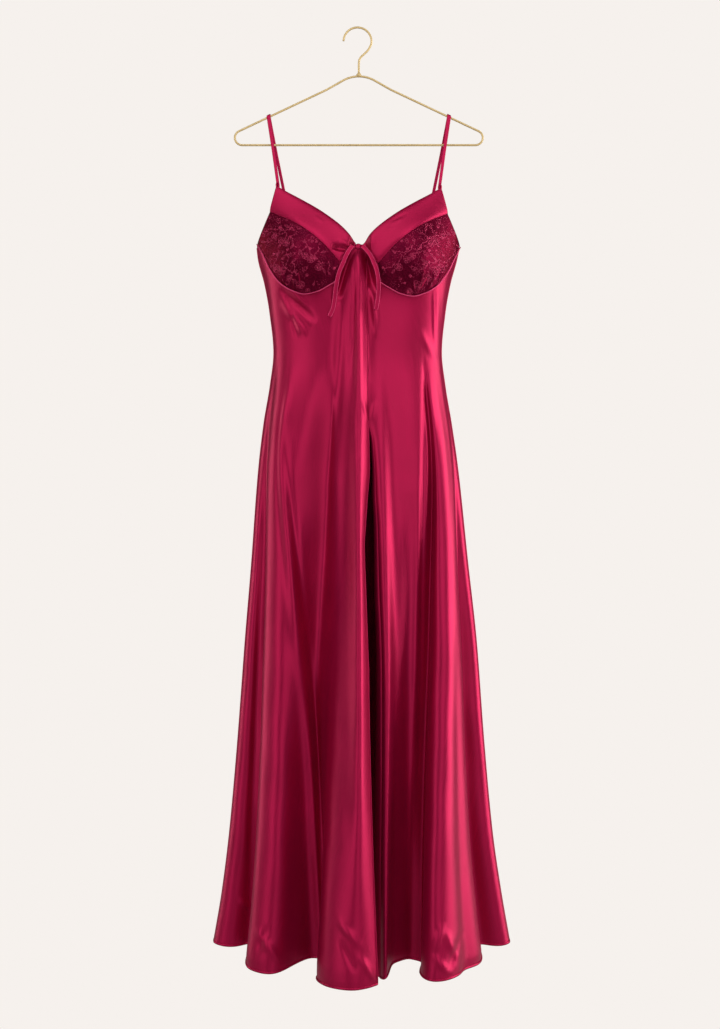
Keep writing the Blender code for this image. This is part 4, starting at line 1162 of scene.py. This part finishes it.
def motif(kind):
    """One motif's strands in its own plane, a millimetre to the unit, with their widths.

    A petal goes out and back as two cosines, a leaf is straight and as wide as a half sine, a
    curl's reach shrinks evenly as it turns, and a stem is one wave of a sine.
    """
    s = np.linspace(0.0, 1.0, STRAND_POINTS)
    leaf_width = np.sin(math.pi * s) ** 0.8
    lines, widths = [], []

    def strand(across, along, turn, width, start=(0.0, 0.0)):
        across, along = across + 0.0 * s, along + 0.0 * s
        cos, sin = math.cos(turn), math.sin(turn)
        turned = [along * cos - across * sin + start[0], along * sin + across * cos + start[1]]
        lines.append(np.stack(turned, axis=-1))
        widths.append(width + 0.0 * s)

    def curl(reach, turns, turn, start=(0.0, 0.0)):
        angle = 2.0 * math.pi * turns * s
        strand(reach * (1 - 0.75 * s) * np.sin(angle), reach * (1 - 0.75 * s) * np.cos(angle),
               turn, 0.75 - 0.25 * s, start)

    if kind == "flower":
        for petal, reach in enumerate((6.4, 5.2, 6.0, 5.0, 5.8)):
            turn = petal * 2.0 * math.pi / 5
            out = 1.6 + (reach - 1.6) * (1.0 - np.cos(2 * math.pi * s)) / 2
            strand(0.52 * reach * np.sin(2 * math.pi * s), out, turn, 0.70)
            for way in (0.7, 0.0, -0.7):
                strand(way * s, 1.8 + 0.45 * reach * s, turn, 0.30)
        for step in range(5):
            turn = (step + 0.5) * 2.0 * math.pi / 5
            strand(0.0, 0.5 + 0.7 * s, turn, 0.3 + 0.6 * leaf_width)
    elif kind == "bud":
        for turn, reach in ((0.0, 4.6), (0.5, 3.4), (-0.5, 3.8)):
            strand(0.28 * reach * np.sin(2 * math.pi * s),
                   reach * (1.0 - np.cos(2 * math.pi * s)) / 2, turn, 0.65)
        strand(0.8 * np.sin(math.pi * s), -5.0 * s, 0.0, 0.6)
    elif kind == "curls":
        curl(4.8, 1.2, 0.0)
        curl(3.2, -1.1, 2.4, (1.0, 3.4))
        curl(2.4, 1.0, 4.4, (-3.4, -2.0))
    elif kind == "vine":
        strand(2.6 * np.sin(2.0 * math.pi * s), 24.0 * s - 12.0, 0.0, 0.65)
        for step in range(9):
            along = 2.6 * step - 10.4
            start = (along, 2.6 * math.sin(2.0 * math.pi * (along + 12.0) / 24.0))
            way = 0.9 if step % 2 else -0.8
            strand(0.3 * np.sin(math.pi * s), (2.2 + 0.3 * (step % 3)) * s, way,
                   0.25 + 0.75 * leaf_width, start)
        curl(2.6, 1.1, 0.8, (12.0, -1.0))
    elif kind == "dashes":
        for step in range(11):
            angle, reach = step * TURN_APART, 1.7 * math.sqrt(step)
            start = (reach * math.cos(angle), reach * math.sin(angle))
            strand(0.2 * np.sin(math.pi * s), (1.1 + 0.2 * (step % 4)) * s, 2.6 * angle,
                   0.3 + 0.6 * leaf_width, start)
    else:
        for way in (1.9, -1.6):
            strand(way * np.sin(math.pi * s), 9.0 * s - 4.0, 0.0, 0.65)
        strand(0.3 * np.sin(math.pi * s), 12.0 * s - 7.0, 0.0, 0.55)
        for step in range(4):
            for way in (0.8, -0.8):
                strand(0.0, 1.5 * s, way, 0.35, (1.6 * step - 3.0, 0.0))
    return np.stack(lines) / 1000.0, np.stack(widths) / 1000.0


MOTIFS = ("flower", "dashes", "vine", "curls", "dashes", "leaf", "vine", "bud", "dashes", "curls",
          "flower", "vine", "dashes", "leaf", "bud")

CUP_INNER_X = 0.0340


def on_cup(seen, side, margin):
    """Which seen places lie on one cup, this far inside its border and its seam."""
    x, z = seen[..., 0] * side.sign, seen[..., 1] + side.lower
    over = np.array([*BAND_BORDER[::-1], CUP_SEAM[0]])
    under = np.array(CUP_SEAM[::-1])
    high, low = np.interp(x, *over.T), np.interp(x, *under.T)
    across = (x > CUP_INNER_X + margin) & (x < CUP_SEAM[0][0] - margin)
    return across & (z < high - margin) & (z > low + margin)


# The motifs' places: the fractions of these multiples fill a box evenly, with no rows or clumps.
SCATTER_ACROSS, SCATTER_UP, SCATTER_KEPT, SCATTER_SIZE = 0.7548777, 0.5698403, 0.4142136, 0.6180340
LACE_LOW, LACE_SPAN = (0.032, -0.462), (0.134, 0.150)
# Where the cups are plainer, how far that reaches, and the most motifs left out there.
PLAIN_AT, PLAIN_REACH, PLAIN_SHARE = (0.066, -0.432), (0.026, 0.030), 0.75
SMALLEST, SIZE_RANGE = 0.80, 0.35
MOTIF_MARGIN = 0.0008
MOTIF_CLEAR = 0.0001
MOTIF_RISE = 0.75


class GOWN_OT_lace(bpy.types.Operator):
    """Make the lace's corded flowers, leaves and scrolls, laid over the net of each cup"""

    bl_idname = "gown.lace"
    bl_label = "Lace motifs"

    def execute(self, context):
        lace = context.scene.gown_lace
        thread = thread_material(lace.thread)
        for side in SIDES:
            number = np.arange(lace.motifs)
            # Each motif has a place, a size and a turn, and its strands are moved as one.
            x = LACE_LOW[0] + LACE_SPAN[0] * np.mod(0.5 + number * SCATTER_ACROSS, 1.0)
            z = LACE_LOW[1] + LACE_SPAN[1] * np.mod(0.5 + number * SCATTER_UP, 1.0)
            off_x, off_z = (x - PLAIN_AT[0]) / PLAIN_REACH[0], (z - PLAIN_AT[1]) / PLAIN_REACH[1]
            plain = np.exp(-(off_x**2) - off_z**2)
            number = number[np.mod(number * SCATTER_KEPT, 1.0) > PLAIN_SHARE * plain]
            x, z = x[number], z[number]
            size = SMALLEST + SIZE_RANGE * np.mod(number * SCATTER_SIZE, 1.0)
            turn = number * TURN_APART + side.sign
            lines, widths = [], []
            for kind in dict.fromkeys(MOTIFS):
                these = np.array([MOTIFS[i % len(MOTIFS)] == kind for i in number])
                shape, width = motif(kind)
                cos, sin = np.cos(turn[these]), np.sin(turn[these])
                spin = np.stack([np.stack([cos, -sin], -1), np.stack([sin, cos], -1)], -2)
                placed = np.einsum("mij,lpj->mlpi", spin * size[these, None, None], shape)
                placed += np.stack([x[these] * side.sign, z[these]], axis=-1)[:, None, None]
                lines.append(placed.reshape(-1, STRAND_POINTS, 2))
                widths.append(np.broadcast_to(width, placed.shape[:3]).reshape(-1, STRAND_POINTS))
            lines, widths = np.concatenate(lines), np.concatenate(widths)
            inside = on_cup(lines, side, MOTIF_MARGIN).all(axis=1)
            lines, widths = lines[inside], widths[inside] * lace.motif_cord / 0.001
            height = NET_PROUD + creased(lines[..., 0], lines[..., 1], GATHERS) + MOTIF_CLEAR
            paths, out = laid_on(lines, height)
            rise = np.minimum(widths, lace.motif_cord) * MOTIF_RISE
            ring = ellipse(1.0, 1.0, STRAND_SIDES)
            profile = ring * np.stack([rise, widths], axis=-1)[..., None, :]
            strands_piece("lace_motifs_" + side.name, paths, profile, out, thread, "lace")
        return {"FINISHED"}


BAND_LEVELS = 24
BORDER_STEPS, KNOT_END_STEPS = 100, 20
BAND_WALL = 0.0016
# How the band's face rises from its two folded edges: how deep they lie, its rise and squareness.
BAND_SUNK, BAND_PUFF, BAND_SQUARE = 0.0012, 0.0022, 6
NECK_FOLD_AT = (0.0, 0.0010, -0.0006)
NECK_FOLD = (0.0012, 0.0022)
STITCH_CORD = 0.0005
STITCH_CLEAR = 0.0001


class GOWN_OT_bands(bpy.types.Operator):
    """Make the folded satin neck bands, rounded at both edges and puckered by the knot"""

    bl_idname = "gown.bands"
    bl_label = "Neck bands"

    def execute(self, context):
        satin = satin_of(context.scene)
        stitch = context.scene.gown_trim.stitch
        for side in SIDES:
            top, border, under_knot = (
                spread(seen_outline(outline, side), steps + 1)
                for outline, steps in ((NECKLINE, BORDER_STEPS + KNOT_END_STEPS),
                                       (BAND_BORDER, BORDER_STEPS), (BAND_TO_KNOT, KNOT_END_STEPS))
            )
            foot = np.concatenate([border, under_knot[1:]])
            down = (1.0 - np.cos(np.linspace(0.0, math.pi, BAND_LEVELS + 1))) / 2
            seen = between(left_to_right(top, side), left_to_right(foot, side), down)
            at_middle = {"last": SEAM_GAP} if side.sign < 0 else {"first": SEAM_GAP}
            seen = trimmed(seen, foot=BOUND_GAP / 4, **at_middle)
            # The face stands out evenly, and falls off only close to its two folded edges.
            puffed = 1.0 - np.abs(2.0 * down[:, None] - 1.0) ** BAND_SQUARE
            proud = BAND_PROUD - BAND_SUNK + BAND_PUFF * puffed
            proud = proud + creased(seen[..., 0], seen[..., 1], PUCKERS)
            grid = laid_on(seen, proud)[0]
            obj = sheet_piece("neck_band_" + side.name, grid, grid[..., [2, 0]], satin,
                              BAND_WALL, ["band_" + side.name])
            edge_roll("neck_fold_" + side.name, grid[0] + NECK_FOLD_AT, satin, size=NECK_FOLD)
            line = stitches(*laid_on(seen[-2], proud[-2] + STITCH_CLEAR), stitch, stitch * 1.5,
                            STITCH_CORD)
            strands_piece("band_stitches_" + side.name, *line, satin, "trim")
        return {"FINISHED"}


# The hanger's arm: its height in the middle, if it went straight on, and its fall across.
ARM_TOP_Z, ARM_FALL = -0.0757, 0.47928
# Where a strap's front strand ends: how far in from the cup's corner, its depth, and how far below.
FRONT_END = (0.0022, -0.0345, 0.0015)
# Where its back strand is sewn: across, then how far it goes into the back's top edge and below it.
BACK_END = (0.1060, 0.0007, 0.0030)
BACK_HALF_WIDTH = 0.1715
BEND_STEPS, STRAND_STEPS = 13, 30
STRAP_NARROW, STRAP_WIDER = 0.0052, 0.0016
# The small wrap at the strap's foot: its middle from the cup's corner, its reach and its cloth.
WRAP_AT, WRAP_REACH, WRAP_CLOTH = (0.0012, -0.0368, 0.0005), (0.0020, 0.0048), (0.0032, 0.0028)


def upright_ring(centre, across, up, count):
    """A ring of points round a centre: an ellipse in the plane that faces the viewer."""
    turn = np.linspace(0.0, 2.0 * math.pi, count, endpoint=False)
    ring = np.stack([across * np.cos(turn), 0 * turn, up * np.sin(turn)], axis=-1)
    return np.array(centre) + ring


class GOWN_OT_straps(bpy.types.Operator):
    """Make the flat straps over the hanger and the small wraps at their feet"""

    bl_idname = "gown.straps"
    bl_label = "Straps"

    def execute(self, context):
        satin = satin_of(context.scene)
        corner_x, corner_z = NECKLINE[0]
        round_wire = WIRE_RADIUS + SEAM_GAP * 2 + STRAP_WALL / 2
        back_share = BACK_END[0] / BACK_HALF_WIDTH
        back_z = ARMHOLE_Z - BACK_DIP * (1.0 - back_share**2)
        back_y = float(at_height(SECTIONS, "back", back_z) * oval(back_share)) - BACK_END[1]
        for side in SIDES:
            over_x = side.sign * STRAP_X
            wire_z = ARM_TOP_Z - ARM_FALL * STRAP_X
            front = np.array([side.sign * (corner_x - FRONT_END[0]), FRONT_END[1],
                              corner_z - side.lower - FRONT_END[2]])
            back = np.array([side.sign * BACK_END[0], back_y, back_z - BACK_END[2]])
            # Straight strands in front and behind, and half a turn over the wire between them. The
            # ribbon is level at its feet and slopes with the arm where it lies on the wire.
            turn = np.radians(np.linspace(-90, 90, BEND_STEPS))
            arch = np.stack([np.full(BEND_STEPS, over_x), round_wire * np.sin(turn),
                             wire_z + round_wire * np.cos(turn)], axis=-1)
            stretch = np.linspace(0.0, 1.0, STRAND_STEPS)[:, None]
            down_front = front + (arch[0] - front) * stretch
            down_back = arch[-1] + (back - arch[-1]) * stretch
            path = np.concatenate([down_front, arch[1:-1], down_back])
            slope = side.sign * -ARM_FALL
            near_wire = np.clip(1.0 - (wire_z - path[:, 2]) / STRAP_LEVELS_OFF, 0.0, 1.0)
            wide = np.stack([np.ones(len(path)), np.zeros(len(path)), slope * near_wire], axis=1)
            width = STRAP_NARROW + STRAP_WIDER * near_wire
            thick = np.full(len(path), STRAP_WALL)
            profile = ellipse(1.0, 1.0, 16, 3.2) * np.stack([width, thick], axis=-1)[:, None]
            tube_piece("strap_ribbon_" + side.name, path, profile, wide, satin,
                       ["strap_" + side.name])
            middle = (side.sign * (corner_x - WRAP_AT[0]), WRAP_AT[1],
                      corner_z - side.lower + WRAP_AT[2])
            tube_piece("strap_wrap_" + side.name, upright_ring(middle, *WRAP_REACH, 32),
                       ellipse(*WRAP_CLOTH, 10), (0, 1, 0), satin,
                       ["strap_loop_" + side.name], closed=True)
        return {"FINISHED"}


TAIL_STEPS, TAIL_SIDES = 60, 28
TAIL_ACROSS = (1.0, 0.0, 0.2)
# A tail's section: where its edges swell, how far that reaches, and how flat it is between them.
SWELL_AT, SWELL_REACH, FLAT_SHARE = 0.80, 0.20, 0.60
# The rims along a tail's edges, paler cords that are painted highlights: their place as shares of
# its width, and their own width.
RIM_ASIDE, RIM_OUT, RIM_WIDTH = 0.42, 0.20, 0.0009
KNOT_GROOVE = 0.08
LOOP_CLOTH = (0.0050, 0.0017)


class GOWN_OT_bow(bpy.types.Operator):
    """Make the bow: its knot, its small wrapped loop and its two cord tails"""

    bl_idname = "gown.bow"
    bl_label = "Bow"

    def execute(self, context):
        satin = satin_of(context.scene)
        trim = context.scene.gown_trim
        rim_highlight = highlit_piping_of(context.scene)
        for name, route, length in (("left", LEFT_TAIL, 0.1235), ("right", RIGHT_TAIL, 0.111)):
            path = spread(route, TAIL_STEPS)
            # The tail's section is a squared ellipse that is thinner between its two edges.
            depth = trim.cord_width * trim.cord_flatness
            profile = ellipse(trim.cord_width, depth, TAIL_SIDES, 2.4)
            from_edge = np.abs(profile[:, 0]) / (trim.cord_width / 2) - SWELL_AT
            swell = np.exp(-((from_edge / SWELL_REACH) ** 2))
            profile[:, 1] *= FLAT_SHARE + (1.0 - FLAT_SHARE) * swell
            tail = tube_piece("bow_cord_" + name, path, profile, TAIL_ACROSS, satin,
                              ["bow_tail_" + name])
            # Each tail gets two paler cords along its edges as painted edge highlights.
            for edge, way in (("outer", -1.0), ("inner", 1.0)):
                place = np.array([[way * trim.cord_width * RIM_ASIDE, trim.cord_width * RIM_OUT]])
                line = carried(path, place, TAIL_ACROSS)[:, 0]
                tube_piece(f"bow_rim_{name}_{edge}", line,
                                       ellipse(RIM_WIDTH, RIM_WIDTH, 8), TAIL_ACROSS, rim_highlight)
        knot = ball("bow_wrap", np.array(KNOT_AT), np.array(KNOT_SIZE), KNOT_GROOVE)
        add_piece("bow_wrap", knot, satin, ["bow_knot"])
        tube_piece("bow_small_loop", upright_ring(LOOP_AT, *LOOP_SIZE, 40),
                   ellipse(*LOOP_CLOTH, 12, 2.6), (0, 1, 0), satin, ["bow_loop"],
                   closed=True)
        return {"FINISHED"}


def rounded(corners, bends, steps):
    """A closed outline through corners, each turned into an arc of its bend's radius."""
    corners = np.array(corners)
    bends = np.array(bends)[:, None]
    before = unit(np.roll(corners, 1, 0) - corners)
    after = unit(np.roll(corners, -1, 0) - corners)
    half = np.arccos(np.sum(before * after, axis=1, keepdims=True)) / 2
    centre = corners + unit(before + after) * bends / np.sin(half)
    first = corners + before * bends / np.tan(half) - centre
    last = corners + after * bends / np.tan(half) - centre
    start = np.arctan2(first[:, 1], first[:, 0])[:, None]
    turn = np.arctan2(last[:, 1], last[:, 0])[:, None] - start
    turn = np.mod(turn + math.pi, 2.0 * math.pi) - math.pi
    angle = start + turn * np.linspace(0.0, 1.0, steps + 1)
    arcs = centre[:, None] + bends[:, None] * np.stack([np.cos(angle), np.sin(angle)], axis=-1)
    return arcs.reshape(-1, 2)


def standing(outline):
    """Places across and up, stood in the hanger's own plane."""
    outline = np.asarray(outline, float)
    return np.stack([outline[:, 0], 0.0 * outline[:, 0], outline[:, 1]], axis=-1)


# The hanger's frame: corners where its straights would meet, the radius of each bend, the steps
# round a bend, and how many points on the ring starts, which puts its join in a lower bend.
FRAME_CORNERS = [(0.0, -0.0724), (0.054, -0.1030), (0.2510, -0.1960), (-0.2510, -0.1960),
                 (-0.054, -0.1030)]
FRAME_BENDS = [0.054, 0.080, 0.01235, 0.01235, 0.080]
FRAME_STEPS = 24
FRAME_START = 60
# The hook's arc in degrees, from its free end over the crown, and its neck down to the collar.
HOOK_ARC, HOOK_STEPS = (178, -12), 40
HOOK_NECK = [(0.0162, -0.0355), (0.0088, -0.0432), (0.0030, -0.0490), (0.0004, -0.0550),
             (0.0, -0.0640), (0.0, -0.0745)]
COLLAR_SHAPE = (1.0, 1.0, 0.92)


class GOWN_OT_hanger(bpy.types.Operator):
    """Make the hanger's bent wire frame, its hook and the small collar between them"""

    bl_idname = "gown.hanger"
    bl_label = "Hanger"

    def execute(self, context):
        hanger = context.scene.gown_hanger
        gold = gold_material(hanger.gold)
        wire = ellipse(2 * WIRE_RADIUS, 2 * WIRE_RADIUS, hanger.sides)
        outline = np.roll(rounded(FRAME_CORNERS, FRAME_BENDS, FRAME_STEPS), -FRAME_START, axis=0)
        tube_piece("hanger_wire", standing(outline), wire, (0, 1, 0), gold,
                   ["hanger_frame"], closed=True)
        # The hook is an arc over the crown, and then one smooth curve down to the collar.
        arc = np.radians(np.linspace(*HOOK_ARC, HOOK_STEPS))
        hook_z = WIRE_RADIUS - HOOK_RADIUS
        hook = np.stack([HOOK_X + HOOK_RADIUS * np.cos(arc), hook_z + HOOK_RADIUS * np.sin(arc)], 1)
        neck = spread([hook[-1], *HOOK_NECK], HOOK_STEPS)
        tube_piece("hanger_hook_wire", standing(np.concatenate([hook, neck[1:]])), wire,
                   (0, 1, 0), gold, ["hanger_hook"])
        centre = np.array([0.0, 0.0, COLLAR_Z])
        collar = ball("hanger_ball", centre, np.array(COLLAR_SHAPE) * COLLAR_RADIUS)
        add_piece("hanger_ball", collar, gold, ["hanger_collar"])
        return {"FINISHED"}


class GOWN_PT_panel(bpy.types.Panel):
    """The gown's sizes, colours and pieces"""

    bl_idname = "GOWN_PT_panel"
    bl_label = "Lace-cup gown"
    bl_space_type = "VIEW_3D"
    bl_region_type = "UI"
    bl_category = "Gown"

    def draw(self, context):
        for group, _ in GROUPS:
            settings = getattr(context.scene, group)
            for name in settings.__annotations__:
                self.layout.prop(settings, name)
        for operator in OPERATORS:
            self.layout.operator(operator.bl_idname)


GROUPS = (
    ("gown_cloth", GownCloth),
    ("gown_lace", GownLace),
    ("gown_trim", GownTrim),
    ("gown_hanger", GownHanger),
    ("gown_stage", GownStage),
)
OPERATORS = (
    GOWN_OT_stage, GOWN_OT_bow, GOWN_OT_panels, GOWN_OT_cups, GOWN_OT_lace, GOWN_OT_bands,
    GOWN_OT_straps, GOWN_OT_hanger,
)


def register():
    for name, group in GROUPS:
        bpy.utils.register_class(group)
        setattr(bpy.types.Scene, name, PointerProperty(type=group))
    for kind in (*OPERATORS, GOWN_PT_panel):
        bpy.utils.register_class(kind)


def unregister():
    for kind in (GOWN_PT_panel, *reversed(OPERATORS)):
        bpy.utils.unregister_class(kind)
    for name, group in reversed(GROUPS):
        delattr(bpy.types.Scene, name)
        bpy.utils.unregister_class(group)


def main():
    register()
    for operator in OPERATORS:
        group, name = operator.bl_idname.split(".")
        getattr(getattr(bpy.ops, group), name)()


if __name__ == "__main__":
    main()
